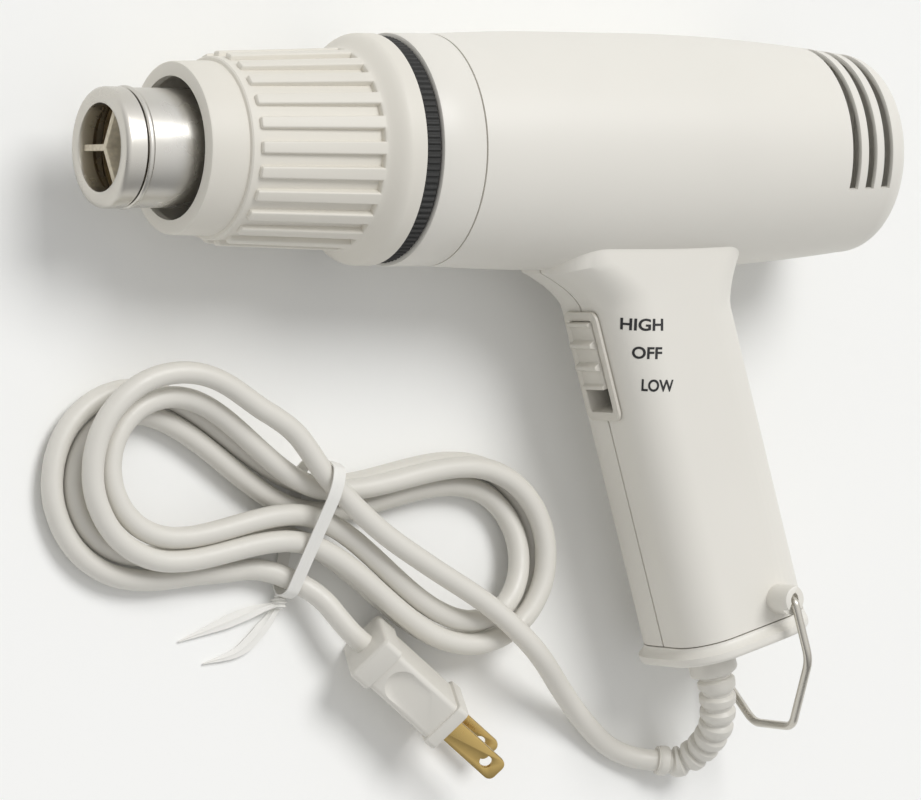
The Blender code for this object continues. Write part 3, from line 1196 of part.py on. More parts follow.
def make_plug(table):
    """Moulded plug: a block at the cord, a plainer body with a thumb scoop, and a flange at the blades."""
    block_end = PLUG_BLOCK_LENGTH
    flange = PLUG_LENGTH - PLUG_FLANGE_LENGTH
    small = PLUG_STEP
    rings = []
    for x, less in ((0.0, 0.8), (0.8, 0.0), (block_end - 0.3, 0.0), (block_end, small), (flange, small),
                    (flange + 0.3, 0.0), (PLUG_LENGTH - 0.6, 0.0), (PLUG_LENGTH, 0.6)):
        half_w = PLUG_HALF_WIDTH - less
        half_h = PLUG_HALF_HEIGHT - less
        rings.append([(x, a, b) for a, b in rounded_outline(half_w, half_w, half_h, PLUG_CORNER, 3)])
    body = loft("plug", rings)
    face = PLUG_HALF_WIDTH - PLUG_STEP
    rear = block_end + 2.6
    floor = Vector((rear, face - PLUG_SCOOP_DEPTH, 0.0))
    lean = Matrix.Rotation(PLUG_SCOOP_SLOPE, 3, "Z")
    middle = floor + lean @ Vector((PLUG_SCOOP_RADIUS, 0.0, 0.0))
    cut(body, rod("scoop", middle, middle + lean @ Vector((0.0, 12.0, 0.0)), PLUG_SCOOP_RADIUS, 24))
    pockets = []
    fit = PRESS_GAP
    for side in (-1.0, 1.0):
        middle = side * BLADE_SPREAD / 2
        pockets.append(block("pocket", (PLUG_LENGTH - BLADE_ROOT - fit, middle - BLADE_THICKNESS / 2 - fit, -BLADE_WIDTH / 2 - fit),
                             (PLUG_LENGTH + 3.0, middle + BLADE_THICKNESS / 2 + fit, BLADE_WIDTH / 2 + fit)))
    cut(body, gathered("pockets", pockets))
    frame = plug_frame()
    finish(moved(body, frame), "plug_body", "cord_grey", table, 28.0)
    for number, side in enumerate((-1.0, 1.0), 1):
        middle = side * BLADE_SPREAD / 2
        tip = PLUG_LENGTH + BLADE_LENGTH
        half = BLADE_WIDTH / 2
        outline = [(PLUG_LENGTH - BLADE_ROOT, -half), (tip - 1.6, -half), (tip, -half + 1.6), (tip, half - 1.6),
                   (tip - 1.6, half), (PLUG_LENGTH - BLADE_ROOT, half)]
        thick = BLADE_THICKNESS / 2
        blade = loft("blade", [[(x, middle - thick, z) for x, z in outline], [(x, middle + thick, z) for x, z in outline]])
        cut(blade, rod("hole", (tip - 4.6, middle - 3.0, 0.0), (tip - 4.6, middle + 3.0, 0.0), BLADE_HOLE_RADIUS, 14))
        finish(moved(blade, frame), f"plug_blade_{number}", "brass", table)


def drawn_in(loop, inset):
    """A closed outline, given anticlockwise, moved inwards by an even distance."""
    out = []
    for before, here, after in zip(loop[-1:] + loop[:-1], loop, loop[1:] + loop[:1]):
        first = (Vector(here) - Vector(before)).normalized()
        second = (Vector(after) - Vector(here)).normalized()
        normal = (Vector((-first.y, first.x)) + Vector((-second.y, second.x))).normalized()
        share = inset / max(normal.dot(Vector((-first.y, first.x))), 0.3)
        out.append(tuple(Vector(here) + normal * share))
    return out


def make_tie(table):
    """Flat tie round the hank's waist with its two twisted ends lying on the table."""
    outer = list(TIE_LOOP)
    inner = drawn_in(outer, TIE_THICKNESS)
    half = TIE_WIDTH / 2
    verts = []
    for outline in (outer, inner):
        for u in (-half, half):
            verts += [on_table(u, v, z) for v, z in outline]
    count = len(outer)
    faces = []
    for step in range(count):
        turn = (step + 1) % count
        faces += [[step, turn, count + turn, count + step], [2 * count + step, 3 * count + step, 3 * count + turn, 2 * count + turn],
                  [step, 2 * count + step, 2 * count + turn, turn], [count + step, count + turn, 3 * count + turn, 3 * count + step]]
    tie = from_faces("tie", verts, faces)
    knot = (0.0, TIE_LOOP[-1][0] - 1.0, 2.6)
    lump = [on_table(knot[0], knot[1] + d, knot[2]) for d in (1.3, -1.8)]
    fuse(tie, rod("knot", lump[0], lump[1], 2.0, 10, 1.5))
    for number, (u, v) in enumerate(TIE_TAILS):
        start = on_table(knot[0] - 0.4 + number * 0.8, knot[1] - 0.6, 2.9 - number * 0.9)
        route = smooth_route([start, start.lerp(on_table(u, v, 1.0), 0.3) + Vector((0, 0, -0.6)), on_table(u * 0.7, v * 0.8, 1.0),
                              on_table(u, v, 1.0)], 8.0)
        fuse(tie, sweep("end", route, [0.8] * len(route), 6))
    finish(tie, "cord_tie", "tie_paper", table)


def frame_empty(name, matrix):
    made = bpy.data.objects.new(name, None)
    bpy.context.scene.collection.objects.link(made)
    made.matrix_world = matrix
    return made


def world_bounds(pieces):
    low = Vector((1e9, 1e9, 1e9))
    high = -low
    bpy.context.view_layer.update()
    graph = bpy.context.evaluated_depsgraph_get()
    for piece in pieces:
        shape = piece.evaluated_get(graph)
        mesh = shape.to_mesh()
        for vert in mesh.vertices:
            spot = shape.matrix_world @ vert.co
            low = Vector(map(min, low, spot))
            high = Vector(map(max, high, spot))
        shape.to_mesh_clear()
    return low, high


def main():
    clear_scene()
    turn = rest_turn()
    turn.translation = turn.translation * MM
    gun = frame_empty("gun_at_rest", turn)
    table = frame_empty("table", Matrix.Identity(4))
    make_front(gun)
    make_heater(gun)
    make_motor(gun)
    make_housing(gun)
    make_screws(gun)
    make_switch(gun)
    make_handle_parts(gun)
    make_bail(gun)
    make_relief(table)
    gun_pieces = [piece for piece in bpy.data.objects if piece.type != "EMPTY"]
    make_cord(table)
    make_plug(table)
    make_tie(table)
    low, high = world_bounds(gun_pieces)
    shift = Vector((-(low.x + high.x) / 2, -(low.y + high.y) / 2, 0.0))
    gun.location = gun.location + shift + Vector((0.0, 0.0, -low.z))
    table.location = shift
    bpy.context.view_layer.update()
    print("gun bounds before the shift, mm:", [round(v / MM, 2) for v in (*low, *high)])
    for name in ("fan", "bail", "switch_slider"):
        print(name, "axis point:", [round(v, 5) for v in bpy.data.objects[name].matrix_world.translation])
    down = gun.matrix_world.to_3x3() @ HANDLE_FRAME.to_3x3() @ Vector((0.0, 0.0, -1.0))
    print("slide direction:", [round(v, 5) for v in down])
    print("bail axis:", [round(v, 5) for v in gun.matrix_world.to_3x3() @ Vector((0.0, 1.0, 0.0))])
    print("barrel axis:", [round(v, 5) for v in gun.matrix_world.to_3x3() @ Vector((1.0, 0.0, 0.0))])
    print("table shift:", [round(v, 5) for v in shift])


main()
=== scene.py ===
"""Dresses a packed heat gun: moulded halves, ribbed shroud, steel nozzle, switch, bail, cord and plug.

Pieces are modelled in millimetres in the gun's own frame, in the handle's frame or in the table's,
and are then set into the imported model's frame in metres.
Gun frame: x runs back along the barrel from the nozzle's mouth, z is up, minus y faces up on the table.
Handle frame: x runs back from the handle's middle line, minus z runs down the handle.
Table frame: x as the gun's, y is the gun's up direction laid flat, z is height over the table.
"""
import json
import math

import bmesh
import bpy
from bpy.props import FloatProperty, FloatVectorProperty, IntProperty, PointerProperty
from bpy.types import Operator, Panel, PropertyGroup
from mathutils import Matrix, Vector


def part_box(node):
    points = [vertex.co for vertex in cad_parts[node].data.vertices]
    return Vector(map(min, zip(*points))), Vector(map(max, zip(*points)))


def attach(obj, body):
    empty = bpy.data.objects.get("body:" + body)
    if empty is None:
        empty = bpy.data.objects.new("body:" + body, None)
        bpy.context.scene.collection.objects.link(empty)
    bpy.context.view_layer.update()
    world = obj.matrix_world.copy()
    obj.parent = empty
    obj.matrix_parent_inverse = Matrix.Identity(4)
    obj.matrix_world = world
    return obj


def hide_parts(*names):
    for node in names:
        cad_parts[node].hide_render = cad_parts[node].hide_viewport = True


bl_info = {
    "name": "Heat gun dresser",
    "version": (1, 0, 0),
    "blender": (4, 5, 0),
    "location": "View3D > Sidebar > Heat Gun",
    "description": "Models the looks of a hand-held heat gun round its packed parts",
    "category": "Object",
}

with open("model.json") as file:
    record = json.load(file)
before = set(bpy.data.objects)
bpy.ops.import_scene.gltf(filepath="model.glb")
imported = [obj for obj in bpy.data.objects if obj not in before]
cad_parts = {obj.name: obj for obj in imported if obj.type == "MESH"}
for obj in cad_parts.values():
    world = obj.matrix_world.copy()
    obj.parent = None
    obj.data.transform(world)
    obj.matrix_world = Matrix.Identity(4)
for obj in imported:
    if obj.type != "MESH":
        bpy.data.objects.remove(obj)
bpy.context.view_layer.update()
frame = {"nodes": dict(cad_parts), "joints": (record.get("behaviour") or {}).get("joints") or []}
MM = 0.001

# The gun's and the table's frames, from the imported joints
JOINTS = {joint["name"]: joint for joint in frame["joints"]}
AXIS_POINT = JOINTS["fan_spin"]["pos_m"]
MOUTH = Vector((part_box("nozzle_ring")[0].x, AXIS_POINT[1], AXIS_POINT[2]))
ALONG = Vector((1.0, 0.0, 0.0))
SIDEWAYS = Vector((0.0, 1.0, 0.0))
ACROSS = -Vector(JOINTS["bail_swing"]["axis"])
GUN = Matrix.Translation(MOUTH) @ Matrix((ALONG, ACROSS, ALONG.cross(ACROSS))).transposed().to_4x4()
TABLE = Matrix.Translation((MOUTH.x, MOUTH.y, 0.0))
SLIDE_TRAVEL = JOINTS["switch_slide"]["range_m"][1] / MM

# Fits
GAP = 0.3
PARTING_GAP = 0.15

# How far cutters run past an open end, and a distance sideways that is past every side
OVERRUN = 8.0
BEYOND = 60.0

# Nozzle and heating element
NOZZLE_RADIUS = 14.6
NOZZLE_WALL = 0.8
NOZZLE_REAR = 84.0
BEAD_RADIUS = 15.1
BEAD_WIDTH = 1.6
BEAD_HEIGHT = 0.5
RING_LENGTH = 5.8
RING_RADIUS = 14.8
LIP_ROUND = 1.7
MOUTH_RADIUS = 10.6
VANE_THICKNESS = 1.6
VANE_FRONT = 1.6
VANE_LENGTH = 76.0
COIL_TURNS = 7
STEPS_PER_COIL_TURN = 40
COIL_WIRE_RADIUS = 0.5
MICA_THICKNESS = 0.5

# Ribbed heat shroud
SHROUD_FRONT = 19.7
SHROUD_REAR = 75.6
SHROUD_MOUTH_RADIUS = 17.6
SHROUD_WALL = 2.0
SLEEVE_RADIUS = 21.2
SHOULDER_AT = 30.1
FLOOR_RADIUS = 22.5
FLOOR_RISE = 0.7
RIB_START = 32.5
RIB_END = 66.0
RIB_FRONT_RADIUS = 23.8
RIB_REAR_RADIUS = 25.0
RIB_SHARE = 0.47
RIB_ROUND = 0.5
FLARE_HOLLOW = 1.4

# Seal band, collar and barrel
BARREL_FRONT_RADIUS = 29.0
BARREL_RADIUS = 30.0
BAND_FRONT = 75.9
BAND_REAR = 80.1
BAND_RADIUS = 28.2
BAND_DEPTH = 3.0
KNURL_DEPTH = 0.55
COLLAR_FRONT = 80.4
COLLAR_REAR = 92.6
COLLAR_SPIGOT = 5.0
COLLAR_SPIGOT_WALL = 1.8
COLLAR_WEB = 2.4
COLLAR_WEB_GAP = 1.2
FLANGE_SCREW_CIRCLE = 20.4
FLANGE_SCREWS = 3
BARREL_FRONT = 92.9
BARREL_SWELLS_BY = 118.0
BARREL_NARROWS_FROM = 149.9
BARREL_ROUNDS_FROM = 215.9
BARREL_REAR = 224.9
BARREL_NARROWING = 4.3
WALL = 2.4
PARTING_DEPTH = 0.4
SLOT_COUNT = 3
FIRST_SLOT = 204.7
SLOT_PITCH = 5.3
SLOT_GAP = 2.4
SLOT_WALL = 1.2
SLOT_EASE = 0.35
SLOT_LOW = math.radians(-21.0)
SLOT_HIGH = math.radians(84.0)

# Handle
HANDLE_AT = 146.5
HANDLE_RAKE = math.radians(16.2)
HANDLE = Matrix.Translation((HANDLE_AT, 0.0, 0.0)) @ Matrix.Rotation(-HANDLE_RAKE, 4, "Y")
HANDLE_HALF_DEPTH = 19.0
HANDLE_HALF_WIDTH = 17.0
HANDLE_CORNER = 11.0
HANDLE_END = 126.0
FLARE_TOP = 24.0
FLARE_FRONT_END = 36.0
FLARE_FRONT = 9.0
FLARE_BACK_END = 46.0
FLARE_BACK = 15.0
BASE_TOP = 126.3
BASE_BOTTOM = 131.0
BASE_OVERHANG = 2.0
BASE_BACK_OVERHANG = 0.3
BASE_COVE = 2.4
BASE_ROUND = 1.2
BASE_SPIGOT = 4.0
BASE_SPIGOT_WALL = 1.7
BASE_RECESS = 0.4

# Screws that join the halves, as places along the barrel and heights, and one down the handle
BARREL_SCREWS = ((136.0, -20.5), (189.0, 14.5), (189.0, -14.5))
HANDLE_SCREW = (8.5, -96.0)
POST_RADIUS = 4.4
SCREW_RADIUS = 1.5
SCREW_HEAD_RADIUS = 2.8
SCREW_HEAD_HEIGHT = 2.2
SCREW_SEAT = 7.0
SCREW_REACH = 7.0
SCREW_GAP = 0.25
CROSS_REACH = 1.7
CROSS_HALF_WIDTH = 0.38
CROSS_DEPTH = 1.1
SCREW_TURN = math.radians(23.0)

# Switch
SWITCH_AT = 51.0
WINDOW_LENGTH = 24.0
WINDOW_WIDTH = 10.2
SLIDER_LENGTH = 17.6
BEZEL_RIM = 2.4
BEZEL_PROUD = 1.0
BEZEL_DEPTH = 5.4
RIDGE_HEIGHT = 1.6

# Legends beside the switch: word, width, start along the handle's surface and distance down it
INK_THICKNESS = 0.06
LETTER_WEIGHT = 0.024
LETTER_STRIPS = 24
LEGENDS = (("HIGH", 11.4, -10.3, 41.9), ("OFF", 7.8, -9.1, 49.7), ("LOW", 8.4, -8.7, 58.4))

# Bail and its bosses
BAIL_PLACE = (7.5, -120.8)
BAIL_PIVOT = HANDLE @ Vector((BAIL_PLACE[0], 0.0, BAIL_PLACE[1]))
BAIL_HALF_WIDTH = 24.0
BAIL_LENGTH = 35.0
BAIL_STRAIGHT = 16.0
BAIL_FOOT_HALF_WIDTH = 8.8
BAIL_WIRE_RADIUS = 1.1
BAIL_ELBOW = 1.6
BAIL_ELBOW_GAP = 1.1
BAIL_CORNER = 3.0
BAIL_MID_SWING = math.radians(52.0)
BOSS_RADIUS = 3.8
BOSS_HALF_WIDTH = 25.7

# Strain relief and cord, whose routes are in the table frame
CORD_RADIUS = 2.75
RELIEF_FORWARD = 6.0
RELIEF_INNER_END = 123.6
RELIEF_COLLAR_RADIUS = 6.2
RELIEF_COLLAR_LENGTH = 6.2
RELIEF_NECK_RADIUS = 4.3
RELIEF_START_RADIUS = 5.0
RELIEF_END_RADIUS = 3.9
RELIEF_RIBS = 9
RELIEF_RIB_DEPTH = 1.0
RELIEF_ROUTE = ((180.3, -138.0, 24.2), (182.7, -147.0, 19.8), (182.6, -153.6, 12.2),
                (179.2, -156.8, 7.2), (173.6, -156.2, 5.3))
LEAD_ROUTE = ((160.0, -151.9, 2.95), (150.6, -144.1, 5.0), (141.0, -135.4, 10.0), (133.5, -128.6, 14.6),
              (126.0, -121.9, 16.5), (115.5, -113.6, 16.7), (98.5, -103.4, 16.7))

# Inner cord and wires, as places along the handle and the barrel
JACKET_END = 103.0
SWITCH_FOOT = 65.0
SWITCH_BACK = -1.45
MOTOR_REAR = 159.3
WIRE_RADIUS = 1.0
WIRE_SPREAD = 1.35

# Hank of cord, whose own frame has u along its runs and v across them
HANK_CENTRE = (69.0, -90.0)
HANK_TILT = math.radians(-13.6)
HANK_HALF_RUN = 48.0
HANK_TOP_RUN = 41.0
HANK_LOW_RUN = 47.0
HANK_FOLD_RADIUS = 16.5
HANK_LEFT_RADIUS = 14.4
HANK_WAIST = 0.3
HANK_STEP = 6.85
HANK_FOLD_STEP = 6.0
HANK_LAYER_STEP = 6.2
HANK_LOWEST = 3.95
HANK_START_TURN = 0.35
HANK_END_TURN = 3.655
HANK_REVERSE_TURN = 2.0
HANK_DROP_TURNS = 0.16
HANK_FIRST_DROP_START = 0.37
HANK_FIRST_DROP_END = 0.60
HANK_FAN = math.radians(1.4)
HANK_RUN_SHARE = 0.31
HANK_POINTS_PER_TURN = 96
LEAD_OVER_HANK = ((16.0, -0.4, 16.7), (0.0, 8.3, 16.7), (-10.0, 16.2, 16.6))
TAIL_ROUTE = ((-9.3, -16.3, 4.0), (-0.8, -16.6, 5.1), (8.1, -19.7, 8.1))

# Tie round the hank's waist
TIE_WIDTH = 3.4
TIE_LOOP = ((-18.5, 0.05), (10.6, 0.05), (13.4, 3.0), (13.4, 16.6), (11.8, 20.4), (8.2, 21.2), (4.2, 20.4),
            (-8.0, 14.5), (-20.4, 8.4), (-21.6, 6.0), (-21.6, 3.0))
TIE_KNOT = (0.0, -22.6, 2.6)
TIE_TAILS = (((-7.0, -26.8), (-16.0, -32.5), (-25.0, -38.0)), ((-2.6, -29.5), (-8.0, -37.0), (-17.0, -42.0)))

# Plug
PLUG_LENGTH = 30.0
PLUG_HALF_WIDTH = 9.4
PLUG_HALF_HEIGHT = 6.6
PLUG_STEP = 0.9
PLUG_BLOCK_LENGTH = 6.0
PLUG_FLANGE_LENGTH = 3.4
PLUG_CORNER = 1.5
PLUG_SCOOP_RADIUS = 4.4
PLUG_SCOOP_DEPTH = 1.5
PLUG_SCOOP_SLOPE = math.radians(8.0)
PLUG_ROLL = math.radians(121.0)
PLUG_HEADING = math.radians(-41.0)
PLUG_NOSE_UP = math.radians(4.0)
PLUG_ENTRY = (21.6, -28.8, 10.75)
BLADE_LENGTH = 17.5
BLADE_WIDTH = 6.35
BLADE_THICKNESS = 1.5
BLADE_SPREAD = 12.7
BLADE_HOLE_RADIUS = 1.6
BLADE_ROOT = 6.0
BLADE_TIP_ROUND = 1.8
BLADE_HOLE_BACK = 4.6
BLADE_FIT = 0.06

# Camera, fitted to the picture's frame of 921 by 800
CAMERA_AT = Vector((-0.8456, -0.0068, 1.392))
CAMERA_LOOKS_AT = Vector((-0.00985, 0.00306, 0.0277))
CAMERA_UP = Vector((0.0137, 0.9997, 0.0156))
CAMERA_LENS = 250.0
SENSOR_WIDTH = 36.0
CAMERA_SEES_TO = 50.0

# Stage: its floor, a key light like the sun, and a white room that lights the rest
FLOOR_SIZE = 8.0
FLOOR_HEIGHT = -0.0001
KEY_FROM = Vector((0.22, 0.6, 1.0))
KEY_STRENGTH = 1.6
KEY_SPREAD = math.radians(28.0)
ROOM_STRENGTH = 0.52
ROOM_DARKEST = 0.3


def linear(code):
    """An sRGB hex colour as linear red, green and blue."""
    channels = [int(code[i:i + 2], 16) / 255.0 for i in (1, 3, 5)]
    return tuple(c / 12.92 if c <= 0.04045 else ((c + 0.055) / 1.055) ** 2.4 for c in channels)


def colour_property(name, description, code):
    """A colour that starts as an sRGB hex code."""
    return FloatVectorProperty(name=name, description=description, default=linear(code), subtype="COLOR",
                               size=3, min=0.0, max=1.0)


def length_property(name, description, size, least, most):
    """A length given in millimetres and kept in metres."""
    return FloatProperty(name=name, description=description, default=size * MM, min=least * MM, max=most * MM,
                         subtype="DISTANCE", unit="LENGTH")


class HeatGunSizes(PropertyGroup):
    """Sizes of the finish that can change without moving a part"""
    edge_round: length_property("Edge round", "Radius on moulded and turned edges", 0.35, 0.05, 0.8)
    parting_width: length_property("Parting line", "Width of the groove between the halves", 0.7, 0.4, 1.5)
    legend_height: length_property("Legend height", "Height of the capitals beside the switch", 3.1, 1.5, 4.0)
    turning_steps: IntProperty(name="Turning steps", description="Flats round a turned piece",
                               default=120, min=48, max=240)
    rib_count: IntProperty(name="Shroud ribs", description="Raised bars round the shroud",
                           default=24, min=8, max=36)
    knurl_count: IntProperty(name="Band ribs", description="Fine ribs round the seal band",
                             default=110, min=40, max=160)


class HeatGunColours(PropertyGroup):
    """Colours of the finishes"""
    body: colour_property("Body", "Moulded halves, collar and base", "#E6E3DB")
    shroud: colour_property("Shroud", "Heat-proof guard round the nozzle", "#E2DED4")
    steel: colour_property("Steel", "Nozzle tube, its lip and the screws", "#CFCDC8")
    band: colour_property("Band", "Rubber ring behind the shroud", "#3A3A39")
    cord: colour_property("Cord", "Cord, plug and strain relief", "#DEDBD3")
    switch: colour_property("Switch", "Frame and thumb slide", "#DAD6CC")
    ink: colour_property("Ink", "Legends beside the switch", "#1D1D1E")
    nickel: colour_property("Nickel", "Wire bail", "#C9C5BC")
    brass: colour_property("Brass", "Plug blades", "#CDB070")
    mica: colour_property("Mica", "Sleeve in the nozzle", "#A8926C")
    former: colour_property("Former", "Three-armed coil former", "#DED3BA")
    floor: colour_property("Floor", "Paper sweep under the gun", "#FAFAF8")


def only(*pieces):
    """Leave just these pieces selected, with the first one active."""
    if bpy.context.mode != "OBJECT":
        bpy.ops.object.mode_set(mode="OBJECT")
    bpy.ops.object.select_all(action="DESELECT")
    for piece in pieces:
        piece.select_set(True)
    if pieces:
        bpy.context.view_layer.objects.active = pieces[0]


def mend(piece):
    """Merge doubles, drop loose edges and turn the faces outwards."""
    only(piece)
    bpy.ops.object.mode_set(mode="EDIT")
    bpy.ops.mesh.select_all(action="SELECT")
    bpy.ops.mesh.remove_doubles(threshold=0.002)
    bpy.ops.mesh.delete_loose()
    bpy.ops.mesh.select_all(action="SELECT")
    bpy.ops.mesh.normals_make_consistent(inside=False)
    bpy.ops.object.mode_set(mode="OBJECT")
    return piece


def turned(name, outline, steps):
    """A closed (x, radius) outline spun round the barrel's axis."""
    only()
    bpy.ops.mesh.primitive_circle_add(vertices=len(outline), radius=1.0)
    piece = bpy.context.object
    piece.name = name
    for vert, (x, radius) in zip(piece.data.vertices, outline):
        vert.co = (x, 0.0, radius)
    bpy.ops.object.mode_set(mode="EDIT")
    bpy.ops.mesh.select_all(action="SELECT")
    bpy.ops.mesh.spin(steps=steps, angle=math.tau, center=(0.0, 0.0, 0.0), axis=(1.0, 0.0, 0.0))
    return mend(piece)


def drawn(name, rings, capped=True):
    """An outline extruded from ring to ring, with its two ends filled."""
    only()
    bpy.ops.mesh.primitive_circle_add(vertices=len(rings[0]), radius=1.0)
    piece = bpy.context.object
    piece.name = name
    for vert, corner in zip(piece.data.vertices, rings[0]):
        vert.co = corner
    bpy.ops.object.mode_set(mode="EDIT")
    bpy.ops.mesh.select_all(action="SELECT")
    net = bmesh.from_edit_mesh(piece.data)
    number = {vert: i for i, vert in enumerate(net.verts)}
    for ring in rings[1:]:
        bpy.ops.mesh.extrude_edges_move()
        fresh = [vert for vert in net.verts if vert.select]
        near = {vert: [edge.other_vert(vert) for edge in vert.link_edges] for vert in fresh}
        number = {vert: number[next(old for old in near[vert] if not old.select)] for vert in fresh}
        for vert, i in number.items():
            vert.co = ring[i]
    bmesh.update_edit_mesh(piece.data)
    if capped:
        bpy.ops.mesh.select_all(action="SELECT")
        bpy.ops.mesh.fill_holes(sides=0)
    return mend(piece)


def ring_across(centre, along, radius, sides, upright):
    """Corners of a circle square to a direction, counted from an upright side."""
    along = Vector(along).normalized()
    side = (Vector(upright) - along * Vector(upright).dot(along)).normalized()
    other = along.cross(side)
    turns = [math.tau * step / sides for step in range(sides)]
    return [Vector(centre) + (side * math.cos(turn) + other * math.sin(turn)) * radius for turn in turns]


def rod(name, stations, along, upright, sides=32):
    """A stepped round bar; each station is a centre and a radius."""
    return drawn(name, [ring_across(centre, along, radius, sides, upright) for centre, radius in stations])


def at_side(place, y):
    """A place in the halves' joining plane, moved sideways."""
    return Vector((place.x, y, place.z))


def cross_rod(name, place, stations, sides):
    """A stepped round bar across the two halves; each station is a distance sideways and a radius."""
    return rod(name, [(at_side(place, y), radius) for y, radius in stations], SIDEWAYS, ALONG, sides)


def slab(name, outline, low, high):
    """A flat outline drawn out from one height to another."""
    return drawn(name, [[(x, y, z) for x, y in outline] for z in (low, high)])


def brick(name, low, high):
    """A square-edged cutter between two corners."""
    only()
    bpy.ops.mesh.primitive_cube_add(size=1.0)
    piece = bpy.context.object
    piece.name = name
    low = Vector(low)
    high = Vector(high)
    for vert in piece.data.vertices:
        vert.co = [(low[i] + high[i]) / 2 + vert.co[i] * (high[i] - low[i]) for i in range(3)]
    return piece


def copied(piece):
    """A second piece with a mesh of its own."""
    only(piece)
    bpy.ops.object.duplicate(linked=False)
    return bpy.context.object


def joined(pieces):
    """Several pieces as one mesh."""
    only(*pieces)
    if len(pieces) > 1:
        bpy.ops.object.join()
    return pieces[0]


def reshaped(piece, matrix):
    """Move a piece's mesh by a matrix in millimetres."""
    piece.data.transform(matrix)
    if matrix.determinant() < 0:
        piece.data.flip_normals()
    return piece


def modified(piece, kind, **settings):
    """Give a piece a modifier and apply it at once."""
    only(piece)
    bpy.ops.object.modifier_add(type=kind)
    step = piece.modifiers[-1]
    for name, value in settings.items():
        setattr(step, name, value)
    bpy.ops.object.modifier_apply(modifier=step.name)
    return piece


def combined(piece, tool, operation="DIFFERENCE", keep_tool=False):
    """Boolean one piece with another."""
    modified(piece, "BOOLEAN", operation=operation, solver="EXACT", object=tool)
    if not keep_tool:
        bpy.data.objects.remove(tool, do_unlink=True)
    return piece


def softened(piece, width, angle=40.0):
    """Round every edge sharper than an angle."""
    return modified(piece, "BEVEL", limit_method="ANGLE", angle_limit=math.radians(angle), width=width,
                    segments=2)


def settled(piece, name, finish, nodes=(), smooth=35.0, place=GUN, body="gun"):
    """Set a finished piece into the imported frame, with its finish, its body and the nodes it stands for."""
    only(piece)
    piece.name = name
    piece.data.name = name
    piece.data.materials.clear()
    piece.data.materials.append(finish_of(finish))
    piece.matrix_world = place @ Matrix.Scale(MM, 4)
    bpy.ops.object.transform_apply(location=True, rotation=True, scale=True)
    bpy.ops.object.shade_smooth_by_angle(angle=math.radians(smooth))
    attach(piece, body)
    if nodes:
        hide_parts(*nodes)
    return piece


def wire(name, points, radius, sides=12):
    """A round wire along points in millimetres, made a mesh."""
    curve = bpy.data.curves.new(name, "CURVE")
    curve.dimensions = "3D"
    curve.bevel_depth = radius
    curve.bevel_resolution = (sides - 4) // 2
    curve.use_fill_caps = True
    line = curve.splines.new("POLY")
    line.points.add(len(points) - 1)
    for spot, point in zip(line.points, points):
        spot.co = (*point, 1.0)
    piece = bpy.data.objects.new(name, curve)
    bpy.context.scene.collection.objects.link(piece)
    only(piece)
    bpy.ops.object.convert(target="MESH")
    return mend(bpy.context.object)


def arc(x, y, radius, start, end, steps):
    """Points of a round stretch about a centre, between two angles in degrees."""
    angles = [math.radians(start + (end - start) * n / steps) for n in range(steps + 1)]
    return [(x + radius * math.cos(a), y + radius * math.sin(a)) for a in angles]


def rounded_outline(front, back, half_width, corner, steps):
    """Corners of a rectangle with rounded corners, front being towards minus x."""
    centres = ((back - corner, half_width - corner), (corner - front, half_width - corner),
               (corner - front, corner - half_width), (back - corner, corner - half_width))
    outline = []
    for number, (x, y) in enumerate(centres):
        outline += arc(x, y, corner, 90.0 * number, 90.0 * number + 90.0, steps)
    return outline


def bent_corner(before, corner, after, reach, shares):
    """A corner of a bent strip or wire, rounded over a reach on both sides."""
    start = corner + (before - corner).normalized() * reach
    end = corner + (after - corner).normalized() * reach
    return [start.lerp(corner, t).lerp(corner.lerp(end, t), t) for t in shares]


def smooth_route(route, spacing):
    """Points a steady step apart on a smooth curve through given places."""
    places = [Vector(p) for p in route]
    places = [places[0] * 2 - places[1]] + places + [places[-1] * 2 - places[-2]]
    fine = []
    for a, b, c, d in zip(places, places[1:], places[2:], places[3:]):
        for step in range(24):
            t = step / 24.0
            fine.append(0.5 * (2 * b + (c - a) * t + (2 * a - 5 * b + 4 * c - d) * t * t
                               + (3 * b - a - 3 * c + d) * t ** 3))
    fine.append(places[-2])
    return evenly(fine, spacing)


def evenly(fine, spacing):
    """The same line with its points a steady step apart."""
    total = length_of(fine)
    count = max(2, round(total / spacing))
    out = [fine[0]]
    walked = 0.0
    for p, q in zip(fine, fine[1:]):
        length = (q - p).length
        while len(out) < count and walked + length >= len(out) * total / count:
            share = (len(out) * total / count - walked) / length
            out.append(p.lerp(q, share))
        walked += length
    out.append(fine[-1])
    return out


def length_of(points):
    """Length of a line of points."""
    return sum((q - p).length for p, q in zip(points, points[1:]))


def ease(share):
    """A share from none to all that starts and stops gently."""
    share = min(max(share, 0.0), 1.0)
    return share * share * (3.0 - 2.0 * share)


def quarter(steps):
    """Angles of a quarter turn in even steps."""
    return [math.pi / 2 * n / steps for n in range(steps + 1)]


# Finishes


def add_node(tree, kind, inputs=None, **settings):
    """Add a shader node with its settings, and link or set its inputs."""
    node = tree.nodes.new(kind)
    for name, value in settings.items():
        setattr(node, name, value)
    for name, value in (inputs or {}).items():
        if isinstance(value, bpy.types.NodeSocket):
            tree.links.new(value, node.inputs[name])
        else:
            node.inputs[name].default_value = value
    return node


def new_finish(name):
    """An empty material with its Principled shader and the piece's own coordinates."""
    made = bpy.data.materials.new(name)
    made.use_nodes = True
    tree = made.node_tree
    shader = tree.nodes["Principled BSDF"]
    place = add_node(tree, "ShaderNodeTexCoord").outputs["Object"]
    return made, tree, shader, place


def per_metre(size_in_mm):
    """A texture's scale for features of a size in millimetres."""
    return 1.0 / (size_in_mm * MM)


